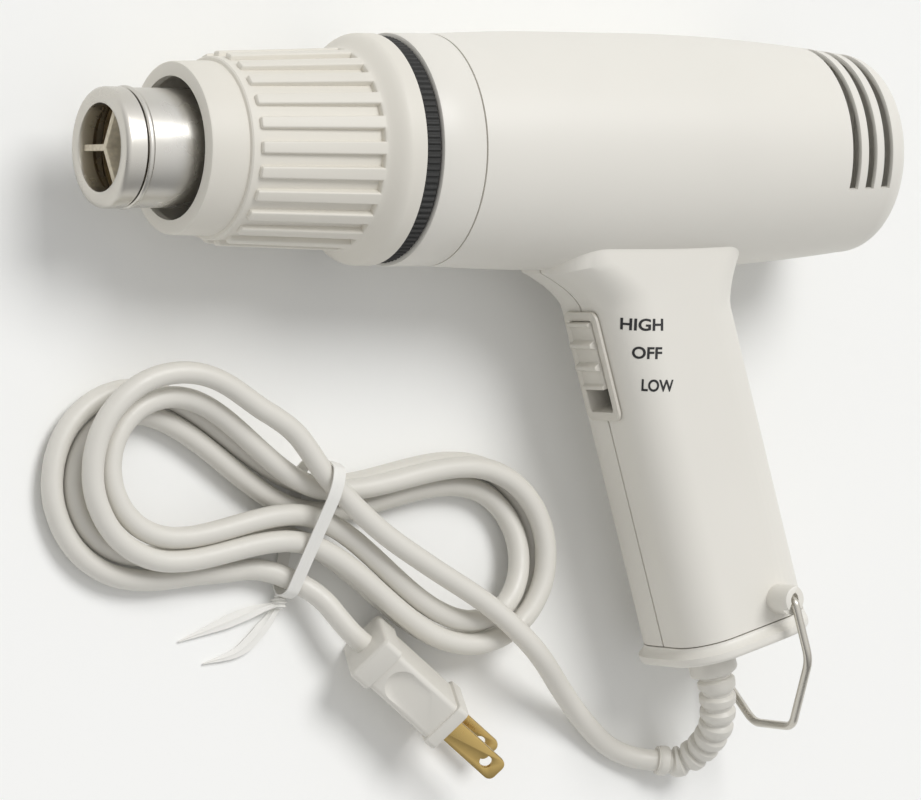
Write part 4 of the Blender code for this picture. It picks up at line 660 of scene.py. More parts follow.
def noise(tree, place, size_in_mm, detail=3.0, roughness=0.5):
    """A cloudy texture with features of a size in millimetres."""
    inputs = {"Vector": place, "Scale": per_metre(size_in_mm), "Detail": detail, "Roughness": roughness}
    return add_node(tree, "ShaderNodeTexNoise", inputs).outputs["Fac"]


def blended(tree, factor, first, second):
    """A colour between two others that follows a texture."""
    inputs = {0: factor, 6: (*first, 1.0), 7: (*second, 1.0)}
    return add_node(tree, "ShaderNodeMix", inputs, data_type="RGBA").outputs[2]


def raised(tree, shader, height, depth_in_mm, strength):
    """Let a texture raise the surface by a depth in millimetres."""
    inputs = {"Height": height, "Strength": strength, "Distance": depth_in_mm * MM}
    bump = add_node(tree, "ShaderNodeBump", inputs)
    tree.links.new(bump.outputs["Normal"], shader.inputs["Normal"])


def varied(tree, place, colour, amount, size_in_mm, detail=3.0):
    """A colour that drifts a little lighter and darker over a size in millimetres."""
    cloud = noise(tree, place, size_in_mm, detail, 0.55)
    dark = tuple(c * (1.0 - amount) for c in colour)
    light = tuple(min(1.0, c * (1.0 + amount * 0.6)) for c in colour)
    return blended(tree, cloud, dark, light), cloud


def grained(tree, shader, place, size_in_mm, depth_in_mm, strength):
    """Fine grain raised over the surface."""
    grain = noise(tree, place, size_in_mm, 2.0, 0.6)
    raised(tree, shader, grain, depth_in_mm, strength)
    return grain


def rough_between(tree, shader, factor, low, high):
    """Roughness that follows a texture between two levels."""
    spread = add_node(tree, "ShaderNodeMapRange", {"Value": factor, "From Min": 0.3, "From Max": 0.7,
                                                   "To Min": low, "To Max": high})
    tree.links.new(spread.outputs["Result"], shader.inputs["Roughness"])


def plain_finish(name, colour, drift, grain, rough, cloudy, inputs):
    """A finish of one colour, from its row in finish_of.

    The row gives the colour's drift as an amount, a size and a detail, the grain as a size, a depth and a
    strength, the least and greatest roughness, how far the sheen follows the drift rather than the grain,
    and shader inputs.
    """
    made, tree, shader, place = new_finish(name)
    shade, cloud = varied(tree, place, colour, *drift)
    tree.links.new(shade, shader.inputs["Base Color"])
    for socket, value in inputs.items():
        shader.inputs[socket].default_value = value
    fine = grained(tree, shader, place, *grain) if grain else cloud
    sheen = add_node(tree, "ShaderNodeMix", {0: cloudy, 2: fine, 3: cloud}, data_type="FLOAT")
    rough_between(tree, shader, sheen.outputs[0], *rough)
    return made


def turned_steel(name, colour):
    """Drawn and turned stainless steel: fine rings from the tool, and a straw tint where it runs hot."""
    made, tree, shader, place = new_finish(name)
    heated_length = 26.0
    straw_share = 0.12
    apart = add_node(tree, "ShaderNodeSeparateXYZ", {"Vector": place})
    heat = add_node(tree, "ShaderNodeMapRange", {"Value": apart.outputs["X"], "From Min": MOUTH.x,
                                                 "From Max": MOUTH.x + heated_length * MM})
    tint = add_node(tree, "ShaderNodeValToRGB", {"Fac": heat.outputs["Result"]})
    stops = tint.color_ramp.elements
    straw = [a + (b - a) * straw_share for a, b in zip(colour, linear("#C7B690"))]
    stops[0].color = (*straw, 1.0)
    stops[1].position = 0.7
    stops[1].color = (*colour, 1.0)
    tree.links.new(tint.outputs["Color"], shader.inputs["Base Color"])
    shader.inputs["Metallic"].default_value = 1.0
    # Tool rings every 0.5 mm along the barrel; a wave texture of scale 1 repeats every tau / 20
    rings = add_node(tree, "ShaderNodeTexWave", {"Vector": place, "Scale": math.tau / 20.0 * per_metre(0.5),
                                                 "Distortion": 0.4, "Detail": 1.0},
                     wave_type="BANDS", bands_direction="X")
    raised(tree, shader, rings.outputs["Fac"], 0.01, 0.12)
    rough_between(tree, shader, noise(tree, place, 9.0), 0.24, 0.36)
    return made


def stamped_brass(name, colour):
    """Stamped brass strip: rolling marks along the blade and a slightly dulled face."""
    made, tree, shader, place = new_finish(name)
    turn = add_node(tree, "ShaderNodeMapping", {"Vector": place, "Rotation": (0.0, 0.0, -PLUG_HEADING),
                                                "Scale": (0.06, 1.0, 1.0)})
    marks = noise(tree, turn.outputs["Vector"], 0.35)
    shade, cloud = varied(tree, place, colour, 0.12, 5.0)
    tree.links.new(shade, shader.inputs["Base Color"])
    shader.inputs["Metallic"].default_value = 1.0
    raised(tree, shader, marks, 0.01, 0.2)
    rough_between(tree, shader, cloud, 0.24, 0.38)
    return made


def mica_board(name, colour):
    """Pressed mica board: pale flakes, glossier at their middles, in a darker binder."""
    made, tree, shader, place = new_finish(name)
    inputs = {"Vector": place, "Scale": per_metre(1.2)}
    flakes = add_node(tree, "ShaderNodeTexVoronoi", inputs).outputs["Distance"]
    binder = tuple(c * 0.72 for c in colour)
    tree.links.new(blended(tree, flakes, colour, binder), shader.inputs["Base Color"])
    shader.inputs["IOR"].default_value = 1.58
    raised(tree, shader, flakes, 0.04, 0.3)
    rough_between(tree, shader, flakes, 0.35, 0.6)
    return made


def finish_of(name):
    """The material of that name, made the first time it is asked for."""
    found = bpy.data.materials.get(name)
    if found:
        return found
    look = bpy.context.scene.heat_gun_colours
    makers = {"turned_stainless": (turned_steel, look.steel), "stamped_brass": (stamped_brass, look.brass),
              "rolled_mica_sheet": (mica_board, look.mica), "pressed_mica_board": (mica_board, look.former)}
    if name in makers:
        maker, colour = makers[name]
        return maker(name, colour)
    # Real spark-eroded grain is about 0.1 mm and is drawn coarser so that it shows
    moulded = {"IOR": 1.54}
    mould_drift = (0.035, 38.0)
    # Extruded soft PVC is smooth and slightly waxy, with faint ripples from the die
    pvc = ((0.05, 22.0), (1.1, 0.025, 0.3), (0.36, 0.5), 0.0, {"IOR": 1.53})
    metal = {"Metallic": 1.0}
    plate_drift = (0.08, 6.0, 4.0)
    plate_grain = (0.5, 0.008, 0.25)
    rows = {
        # Injection-moulded housing: an even colour, and a sheen that hands have polished in soft patches
        "moulded_abs": (look.body, mould_drift, (0.45, 0.02, 0.35), (0.38, 0.5), 0.45, moulded),
        # Filled nylon that bears heat: coarser in its grain and drier than the housing
        "heat_proof_nylon": (look.shroud, mould_drift, (0.6, 0.02, 0.35), (0.46, 0.6), 0.45, moulded),
        # Acetal that thumbs rub: finer in its grain and glossier
        "switch_acetal": (look.switch, mould_drift, (0.4, 0.02, 0.35), (0.34, 0.46), 0.45, moulded),
        # Black nylon inside the gun: a plain mould grain
        "black_nylon": (linear("#232324"), mould_drift, (0.5, 0.02, 0.35), (0.42, 0.56), 0.45, moulded),
        "cord_pvc": (look.cord, *pvc),
        "red_insulation": (linear("#A8322B"), *pvc),
        "blue_insulation": (linear("#2D4A86"), *pvc),
        # Nickel plate on drawn wire: bright, with faint handling marks
        "nickel_plate": (look.nickel, plate_drift, plate_grain, (0.18, 0.3), 1.0, metal),
        # Zinc plate on screws and pressings: greyer and duller
        "zinc_plate": (linear("#B4B6B9"), plate_drift, plate_grain, (0.3, 0.45), 1.0, metal),
        # Resistance wire that its own heat has oxidised: brown and dull
        "resistance_alloy": (linear("#8C8177"), plate_drift, plate_grain, (0.35, 0.55), 1.0, metal),
        # Moulded silicone rubber: dark, dry and a little dusty in its grain
        "silicone_rubber": (look.band, (0.2, 4.0), (0.3, 0.03, 0.4), (0.62, 0.82), 0.0, {"IOR": 1.42}),
        # Pad-printed ink: dense black that thins a little over the grain below it
        "pad_print_ink": (look.ink, (0.3, 0.6), None, (0.5, 0.65), 1.0, {}),
        # Uncoated paper pressed over a thin wire: white, with soft fibres
        "tie_paper": (linear("#ECE9E0"), (0.07, 1.2, 5.0), (0.4, 0.04, 0.5), (0.7, 0.85), 0.0, {}),
        # Matt paper sweep: nearly even, with a faint tooth
        "paper_sweep": (look.floor, (0.012, 180.0), (0.8, 0.03, 0.15), (0.8, 0.9), 0.0,
                        {"Specular IOR Level": 0.1}),
    }
    return plain_finish(name, *rows[name])


# Shapes that several pieces share


def barrel_outline(inset=0.0):
    """The barrel's outer line from its front rim to its closed end, drawn in by an inset."""
    line = []
    for step in range(7):
        share = step / 6
        rise = BARREL_RADIUS - BARREL_FRONT_RADIUS
        line.append((BARREL_FRONT + share * (BARREL_SWELLS_BY - BARREL_FRONT),
                     BARREL_RADIUS - rise * (1.0 - share) ** 1.3))
    narrow = BARREL_ROUNDS_FROM - BARREL_NARROWS_FROM
    for step in range(11):
        share = step / 10
        line.append((BARREL_NARROWS_FROM + share * narrow, BARREL_RADIUS - BARREL_NARROWING * share ** 2))
    depth = BARREL_REAR - BARREL_ROUNDS_FROM
    end = BARREL_RADIUS - BARREL_NARROWING
    for step in range(1, 19):
        share = math.sin(math.pi / 2 * step / 18)
        line.append((BARREL_ROUNDS_FROM + depth * share, end * max(0.0, 1.0 - share ** 2.2) ** 0.2))
    if not inset:
        return line
    inner = []
    for i, (x, radius) in enumerate(line[:-1]):
        along = (Vector(line[i + 1]) - Vector(line[max(i - 1, 0)])).normalized()
        inner.append((x + along.y * inset, max(0.5, radius - along.x * inset)))
    return inner + [(BARREL_REAR - inset, 0.0)]


def barrel_radius(x):
    """The barrel's outer radius at a place along it."""
    line = barrel_outline()
    for (x0, r0), (x1, r1) in zip(line, line[1:]):
        if x0 <= x <= x1:
            return r0 + (r1 - r0) * (x - x0) / (x1 - x0)
    return BARREL_FRONT_RADIUS


def body_block(inset, front, end, steps):
    """Barrel and handle as one solid, drawn in by an inset, from a front face to the handle's end."""
    line = barrel_outline(inset)
    barrel = turned("barrel", [(front, 0.0), (front, line[0][1])] + line[1:], steps)
    rings = []
    # Distances down the handle: inside the barrel, through the flare and at the end
    stations = [8.0] + [FLARE_TOP + (FLARE_BACK_END - FLARE_TOP) * n / 12 for n in range(13)] + [end]
    for down in stations:
        front_share, back_share = [min(1.0, max(0.0, (low - down) / (low - FLARE_TOP))) ** 1.5
                                   for low in (FLARE_FRONT_END, FLARE_BACK_END)]
        outline = rounded_outline(HANDLE_HALF_DEPTH + FLARE_FRONT * front_share - inset,
                                  HANDLE_HALF_DEPTH + FLARE_BACK * back_share - inset,
                                  HANDLE_HALF_WIDTH - inset, HANDLE_CORNER - inset, 10)
        rings.append([HANDLE @ Vector((x, y, -down)) for x, y in outline])
    return combined(barrel, drawn("grip", rings), "UNION")


def hank_point(turn):
    """Centre of the hank's cord after a number of turns, in the hank's own frame."""
    out = abs(turn - HANK_REVERSE_TURN)
    waist = HANK_WAIST + HANK_STEP * out
    right_fold = HANK_FOLD_RADIUS + HANK_FOLD_STEP * out
    left_fold = HANK_LEFT_RADIUS + HANK_FOLD_STEP * out
    drop = ease((turn - HANK_REVERSE_TURN) / HANK_DROP_TURNS + 0.5)
    first = ease((turn - HANK_FIRST_DROP_START) / (HANK_FIRST_DROP_END - HANK_FIRST_DROP_START))
    height = HANK_LOWEST + HANK_LAYER_STEP * (2.0 - drop - first)
    left_run = HANK_TOP_RUN + (HANK_LOW_RUN - HANK_TOP_RUN) * drop
    fold_share = 0.5 - HANK_RUN_SHARE
    share = turn % 1.0
    if share < fold_share / 2 or share >= 1.0 - fold_share / 2:
        angle = ((share + 0.5) % 1.0 - 0.5) / fold_share * math.pi
        u = HANK_HALF_RUN + right_fold * math.cos(angle)
        v = right_fold * math.sin(angle)
    elif abs(share - 0.5) < fold_share / 2:
        angle = (share - 0.5) / fold_share * math.pi + math.pi
        u = -left_run + left_fold * math.cos(angle)
        v = left_fold * math.sin(angle)
    else:
        way = 1.0 if share < 0.5 else -1.0
        along = way * (1.0 - 2.0 * (share % 0.5 - fold_share / 2) / HANK_RUN_SHARE)
        run, fold = (HANK_HALF_RUN, right_fold) if along > 0.0 else (left_run, left_fold)
        u = along * run
        v = way * (waist + (fold - waist) * ease(abs(along)))
    fan = HANK_FAN * (2.0 * drop - 1.0)
    reach = u - HANK_HALF_RUN
    return Vector((HANK_HALF_RUN + reach * math.cos(fan) - v * math.sin(fan),
                   reach * math.sin(fan) + v * math.cos(fan), height))


def on_table(u, v, height):
    """From the hank's own frame to the table's."""
    x = HANK_CENTRE[0] + u * math.cos(HANK_TILT) - v * math.sin(HANK_TILT)
    y = HANK_CENTRE[1] + u * math.sin(HANK_TILT) + v * math.cos(HANK_TILT)
    return Vector((x, y, height))


def relief_line():
    """Centre line of the strain relief in the table frame, from inside the base to the cord."""
    to_table = TABLE.inverted() @ GUN
    to_table.translation /= MM
    straight = [to_table @ HANDLE @ Vector((-RELIEF_FORWARD, 0.0, -down))
                for down in (RELIEF_INNER_END, BASE_BOTTOM + GAP + RELIEF_COLLAR_LENGTH)]
    bend = smooth_route([straight[1]] + [Vector(p) for p in RELIEF_ROUTE], 0.5)
    return straight, bend


def plug_frame():
    """The plug's frame in the table's: x along it towards the blades, y across its two blades."""
    return (Matrix.Translation(on_table(*PLUG_ENTRY)) @ Matrix.Rotation(PLUG_HEADING, 4, "Z")
            @ Matrix.Rotation(-PLUG_NOSE_UP, 4, "Y") @ Matrix.Rotation(PLUG_ROLL, 4, "X"))


def cord_line():
    """The whole cord's centre line in the table frame, from the strain relief to the plug."""
    count = round((HANK_END_TURN - HANK_START_TURN) * HANK_POINTS_PER_TURN)
    turns = [HANK_START_TURN + (HANK_END_TURN - HANK_START_TURN) * n / count for n in range(count + 1)]
    hank = [on_table(*hank_point(turn)) for turn in turns]
    # Its ends' directions are taken over this many points, as the solids' are
    coarse = 4
    into = (hank[coarse] - hank[0]).normalized()
    off = (hank[-1] - hank[-1 - coarse]).normalized()
    diameter = 2.0 * CORD_RADIUS
    hank = [hank[0] - into * diameter] + hank + [hank[-1] + off * diameter]
    _, bend = relief_line()
    leaving = (bend[-1] - bend[-2]).normalized()
    start = bend[-1] + leaving * GAP
    lead = [start, start + leaving * diameter] + [Vector(p) for p in LEAD_ROUTE]
    end = hank[0] - into * GAP
    lead = smooth_route(lead + [on_table(*p) for p in LEAD_OVER_HANK] + [end - into * diameter, end], 1.5)
    heading = plug_frame().to_3x3() @ Vector((1.0, 0.0, 0.0))
    entry = plug_frame().translation
    begin = hank[-1] + off * GAP
    tail = [begin, begin + off * diameter] + [on_table(*p) for p in TAIL_ROUTE]
    tail = smooth_route(tail + [entry - heading * (diameter + GAP), entry - heading * GAP], 1.5)
    return evenly([bend[-1] - leaving * 2.0] + lead + hank + tail + [entry + heading * 1.5], diameter)


def screw_places():
    """The four housing screws' places in the halves' joining plane."""
    places = [Vector((x, 0.0, z)) for x, z in BARREL_SCREWS]
    places.append(HANDLE @ Vector((HANDLE_SCREW[0], 0.0, HANDLE_SCREW[1])))
    return places


# Operators, one for each piece or group of like pieces


class HEATGUN_OT_stage(Operator):
    """Set the pale floor, the soft light and the camera"""
    bl_idname = "heat_gun.stage"
    bl_label = "Stage"

    def execute(self, context):
        scene = context.scene
        scene.view_settings.view_transform = "Standard"
        only()
        bpy.ops.mesh.primitive_plane_add(size=FLOOR_SIZE, location=(0.0, 0.0, FLOOR_HEIGHT))
        floor = context.object
        floor.name = "paper_floor"
        floor.data.materials.append(finish_of("paper_sweep"))
        only()
        bpy.ops.object.camera_add(location=CAMERA_AT)
        camera = context.object
        camera.name = "picture_camera"
        back = (CAMERA_AT - CAMERA_LOOKS_AT).normalized()
        right = CAMERA_UP.cross(back).normalized()
        camera.matrix_world = (Matrix.Translation(CAMERA_AT)
                               @ Matrix((right, back.cross(right), back)).transposed().to_4x4())
        camera.data.lens = CAMERA_LENS
        camera.data.sensor_width = SENSOR_WIDTH
        camera.data.clip_end = CAMERA_SEES_TO
        scene.camera = camera
        only()
        bpy.ops.object.light_add(type="SUN", location=KEY_FROM)
        key = context.object
        key.name = "key_light"
        key.rotation_euler = KEY_FROM.to_track_quat("Z", "Y").to_euler()
        key.data.energy = KEY_STRENGTH
        key.data.angle = KEY_SPREAD
        world = bpy.data.worlds.new("studio")
        world.use_nodes = True
        tree = world.node_tree
        background = tree.nodes["Background"]
        path = add_node(tree, "ShaderNodeLightPath")
        # Metal sees a white room that falls off away from the key light
        way = add_node(tree, "ShaderNodeTexCoord").outputs["Generated"]
        facing = add_node(tree, "ShaderNodeVectorMath", {0: way, 1: KEY_FROM.normalized()},
                          operation="DOT_PRODUCT")
        room = add_node(tree, "ShaderNodeMapRange", {"Value": facing.outputs["Value"], "From Min": -0.2,
                                                     "From Max": 0.75, "To Min": ROOM_DARKEST, "To Max": 1.0})
        glossy = add_node(tree, "ShaderNodeMapRange",
                          {"Value": path.outputs["Is Glossy Ray"], "To Min": ROOM_STRENGTH,
                           "To Max": room.outputs["Result"]})
        # The background itself is white
        seen = add_node(tree, "ShaderNodeMath", {0: path.outputs["Is Camera Ray"],
                                                 1: path.outputs["Is Transmission Ray"]}, operation="MAXIMUM")
        level = add_node(tree, "ShaderNodeMapRange", {"Value": seen.outputs[0],
                                                      "To Min": glossy.outputs["Result"], "To Max": 1.0})
        background.inputs["Color"].default_value = (1.0, 1.0, 1.0, 1.0)
        tree.links.new(level.outputs["Result"], background.inputs["Strength"])
        scene.world = world
        return {"FINISHED"}


class HEATGUN_OT_plug(Operator):
    """Mould the plug with its thumb scoop and set its two flat blades in it"""
    bl_idname = "heat_gun.plug"
    bl_label = "Plug and blades"

    def execute(self, context):
        inner = plug_frame()
        flange = PLUG_LENGTH - PLUG_FLANGE_LENGTH
        rings = []
        # Places along the plug and how far its sides are drawn in there, to step it and round its edges
        stations = ((0.0, 0.8), (0.25, 0.35), (0.8, 0.0), (PLUG_BLOCK_LENGTH - 0.5, 0.0),
                    (PLUG_BLOCK_LENGTH - 0.12, 0.2), (PLUG_BLOCK_LENGTH, PLUG_STEP), (flange, PLUG_STEP),
                    (flange + 0.12, 0.2), (flange + 0.5, 0.0), (PLUG_LENGTH - 0.6, 0.0),
                    (PLUG_LENGTH - 0.18, 0.18), (PLUG_LENGTH, 0.6))
        for x, less in stations:
            outline = rounded_outline(PLUG_HALF_WIDTH - less, PLUG_HALF_WIDTH - less, PLUG_HALF_HEIGHT - less,
                                      PLUG_CORNER, 6)
            rings.append([(x, a, b) for a, b in outline])
        body = drawn("plug", rings)
        combined(body, self.scoop())
        half = BLADE_WIDTH / 2
        half_thick = BLADE_THICKNESS / 2
        root = PLUG_LENGTH - BLADE_ROOT
        for middle in (-BLADE_SPREAD / 2, BLADE_SPREAD / 2):
            low = (root - BLADE_FIT, middle - half_thick - BLADE_FIT, -half - BLADE_FIT)
            high = (PLUG_LENGTH + 3.0, middle + half_thick + BLADE_FIT, half + BLADE_FIT)
            combined(body, brick("pocket", low, high))
        settled(reshaped(body, inner), "moulded_plug", "cord_pvc", ["plug_body"], 30.0, TABLE)
        tip = PLUG_LENGTH + BLADE_LENGTH
        round_off = BLADE_TIP_ROUND
        outline = [(root, -half)]
        outline += arc(tip - round_off, round_off - half, round_off, -90.0, 0.0, 6)
        outline += arc(tip - round_off, half - round_off, round_off, 0.0, 90.0, 6)
        outline.append((root, half))
        for number, middle in enumerate((-BLADE_SPREAD / 2, BLADE_SPREAD / 2), 1):
            blade = drawn("blade", [[(x, middle + across, z) for x, z in outline]
                                    for across in (-half_thick, half_thick)])
            eye = Vector((tip - BLADE_HOLE_BACK, middle, 0.0))
            combined(blade, cross_rod("eye", eye, [(middle + y, BLADE_HOLE_RADIUS) for y in (-3.0, 3.0)], 28))
            softened(blade, 0.22, 50.0)
            settled(reshaped(blade, inner), f"flat_blade_{number}", "stamped_brass",
                    [f"plug_blade_{number}"], place=TABLE)
        return {"FINISHED"}

    def scoop(self):
        """The thumb's hollow: deep and round at the cord's end, running out to nothing towards the blades."""
        rear = PLUG_BLOCK_LENGTH + 1.9
        face = PLUG_HALF_WIDTH - PLUG_STEP
        radius = PLUG_SCOOP_RADIUS
        runs_out = rear + PLUG_SCOOP_DEPTH / math.tan(PLUG_SCOOP_SLOPE)
        outline = arc(rear + radius, 0.0, radius, 90.0, 270.0, 24)
        outline += [(runs_out + 1.0, -radius), (runs_out + 1.0, radius)]
        rings = []
        for share in (0.1, 0.5, 0.75, 0.9, 1.0):
            ring = []
            for x, z in outline:
                spine = max(x, rear + radius)
                deep = (runs_out - (spine + (x - spine) * share)) * math.tan(PLUG_SCOOP_SLOPE)
                ring.append((spine + (x - spine) * share, face - deep * (1.0 - share ** 4) + 0.01, z * share))
            rings.append(ring)
        rings.append([(x, face + 4.0, z) for x, z in outline])
        return drawn("scoop", rings)


class HEATGUN_OT_tie(Operator):
    """Wrap the paper-covered tie round the hank and twist its two ends"""
    bl_idname = "heat_gun.tie"
    bl_label = "Hank tie"

    def execute(self, context):
        half = TIE_WIDTH / 2
        # Flat paper with the wire's ridge along its middle
        section = [(-half, 0.12), (-half, 0.5), (half, 0.5), (half, 0.12), (0.6, 0.12), (0.3, 0.0),
                   (-0.3, 0.0), (-0.6, 0.12)]
        loop = [Vector((v, z)) for v, z in TIE_LOOP]
        line = []
        for before, here, after in zip(loop[-1:] + loop[:-1], loop, loop[1:] + loop[:1]):
            reach = min(1.4, (before - here).length * 0.4, (after - here).length * 0.4)
            line += bent_corner(before, here, after, reach, (0.0, 0.33, 0.67, 1.0))
        rings = []
        for before, here, after in zip(line[-1:] + line[:-1], line, line[1:] + line[:1]):
            along = (after - before).normalized()
            inward = Vector((-along.y, along.x))
            rings.append([on_table(u, *(here + inward * deep)) for u, deep in section])
        band = drawn("tie", rings + rings[:1], capped=False)
        ends = [self.tail(number, places) for number, places in enumerate(TIE_TAILS)]
        tie = joined([band, self.knot()] + ends)
        settled(tie, "paper_tie", "tie_paper", ["cord_tie"], 40.0, TABLE)
        return {"FINISHED"}

    def knot(self):
        """The few turns that the two ends make round each other."""
        rings = []
        for step in range(25):
            share = step / 24
            swell = 0.75 + 0.35 * math.sin(math.pi * share)
            turn = share * math.tau * 1.5
            ring = []
            for side in range(12):
                angle = math.tau * side / 12
                flat = Vector((1.9 * math.cos(angle), 1.25 * math.sin(angle))) * swell
                ring.append(on_table(TIE_KNOT[0] + flat.x * math.cos(turn) - flat.y * math.sin(turn),
                                     TIE_KNOT[1] + 1.3 - 3.1 * share,
                                     TIE_KNOT[2] + flat.x * math.sin(turn) + flat.y * math.cos(turn)))
            rings.append(ring)
        return drawn("knot", rings)

    def tail(self, number, places):
        """One flat end of the tie, tapering to its point on the table."""
        section = ((-1.0, -0.2), (-0.3, -0.22), (0.0, -0.42), (0.3, -0.22), (1.0, -0.2),
                   (1.0, 0.2), (0.3, 0.22), (0.0, 0.42), (-0.3, 0.22), (-1.0, 0.2))
        start = on_table(TIE_KNOT[0] - 0.4 + number * 0.8, TIE_KNOT[1] - 0.6, 2.9 - number * 0.9)
        route = smooth_route([start] + [on_table(u, v, z) for (u, v), z in zip(places, (1.5, 0.9, 0.6))], 1.0)
        rings = []
        for n, spot in enumerate(route):
            along = (route[min(n + 1, len(route) - 1)] - route[max(n - 1, 0)]).normalized()
            share = n / (len(route) - 1)
            tilt = math.radians(50.0) * (1.0 - ease(share * 2.5)) + math.radians(6.0)
            flat = along.cross(Vector((0.0, 0.0, 1.0))).normalized()
            across = Matrix.Rotation(tilt, 3, along) @ flat
            thick = along.cross(across)
            wide = (0.9 + 0.7 * ease(share * 3.0)) * (1.0 - 0.9 * max(0.0, share - 0.5) / 0.5)
            rings.append([spot + across * a * wide + thick * b for a, b in section])
        return drawn("tail", rings)


class HEATGUN_OT_cord(Operator):
    """Lay the cord from the strain relief through the hank to the plug"""
    bl_idname = "heat_gun.cord"
    bl_label = "Mains cord"

    def execute(self, context):
        points = [TABLE @ (p * MM) for p in cord_line()]
        curve = bpy.data.curves.new("mains_cord", "CURVE")
        curve.dimensions = "3D"
        curve.bevel_depth = CORD_RADIUS * MM
        curve.bevel_resolution = 6
        curve.use_fill_caps = True
        curve.resolution_u = 4
        line = curve.splines.new("BEZIER")
        line.bezier_points.add(len(points) - 1)
        for spot, point in zip(line.bezier_points, points):
            spot.co = point
            spot.handle_left_type = "AUTO"
            spot.handle_right_type = "AUTO"
        cord = bpy.data.objects.new("mains_cord", curve)
        context.scene.collection.objects.link(cord)
        curve.materials.append(finish_of("cord_pvc"))
        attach(cord, "gun")
        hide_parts("cord_lead", "cord_hank", "cord_tail")
        return {"FINISHED"}


class HEATGUN_OT_nozzle(Operator):
    """Turn the steel nozzle tube and its lip"""
    bl_idname = "heat_gun.nozzle"
    bl_label = "Nozzle"

    def execute(self, context):
        sizes = context.scene.heat_gun_sizes
        inner = NOZZLE_RADIUS - NOZZLE_WALL
        front = RING_LENGTH + GAP
        bead = front + BEAD_WIDTH
        half = BEAD_WIDTH / 2
        foot = BEAD_RADIUS - BEAD_HEIGHT
        outline = [(front, inner), (front, foot)]
        outline += [(front + half - half * math.cos(a), foot + BEAD_HEIGHT * math.sin(a))
                    for a in [math.pi * n / 8 for n in range(1, 8)]]
        outline += [(bead, NOZZLE_RADIUS), (NOZZLE_REAR, NOZZLE_RADIUS), (NOZZLE_REAR, inner)]
        tube = turned("tube", outline, sizes.turning_steps)
        settled(tube, "steel_nozzle", "turned_stainless", ["nozzle_tube"])
        lip = [(0.0, MOUTH_RADIUS + 0.8), (0.0, RING_RADIUS - LIP_ROUND)]
        lip += arc(LIP_ROUND, RING_RADIUS - LIP_ROUND, LIP_ROUND, 180.0, 90.0, 7)[1:]
        lip += [(RING_LENGTH - 0.3, RING_RADIUS), (RING_LENGTH, RING_RADIUS - 0.3),
                (RING_LENGTH, MOUTH_RADIUS + 1.4), (4.2, MOUTH_RADIUS + 0.1), (1.2, MOUTH_RADIUS),
                (0.35, MOUTH_RADIUS + 0.24)]
        ring = turned("lip", lip, sizes.turning_steps)
        settled(ring, "nozzle_lip", "turned_stainless", ["nozzle_ring"])
        return {"FINISHED"}


class HEATGUN_OT_element(Operator):
    """Set the three-armed former in the bore with its sleeve and wind the coil on it"""
    bl_idname = "heat_gun.element"
    bl_label = "Heating element"

    def execute(self, context):
        sizes = context.scene.heat_gun_sizes
        outer = NOZZLE_RADIUS - NOZZLE_WALL - GAP
        inner = outer - MICA_THICKNESS
        front = RING_LENGTH + 2.5
        rear = NOZZLE_REAR - 2.0
        sleeve = turned("sleeve", [(front, inner), (front, outer), (rear, outer), (rear, inner)],
                        sizes.turning_steps)
        settled(sleeve, "mica_liner", "rolled_mica_sheet", ["mica_sleeve"])
        reach = MOUTH_RADIUS - GAP
        half = VANE_THICKNESS / 2
        root = half / math.tan(math.pi / 3)
        outline = []
        for vane in range(3):
            turn = Matrix.Rotation(math.tau * vane / 3, 2)
            outline += [turn @ Vector(p) for p in ((root, -half), (reach, -half), (reach, half))]
        ends = (VANE_FRONT, VANE_FRONT + VANE_LENGTH)
        former = drawn("former", [[(x, p.x, p.y) for p in outline] for x in ends])
        softened(former, 0.18, 30.0)
        settled(former, "vane_former", "pressed_mica_board", ["element_core"])
        winding = (reach + inner) / 2
        first = VANE_FRONT + 10.0
        last = VANE_FRONT + VANE_LENGTH - 4.0
        steps = COIL_TURNS * STEPS_PER_COIL_TURN
        helix = []
        for n in range(steps + 1):
            angle = math.tau * n / STEPS_PER_COIL_TURN
            along = first + (last - first) * n / steps
            helix.append((along, winding * math.cos(angle), winding * math.sin(angle)))
        coil = wire("coil", helix, COIL_WIRE_RADIUS, 10)
        settled(coil, "wound_coil", "resistance_alloy", ["heating_coil"], 60.0)
        return {"FINISHED"}


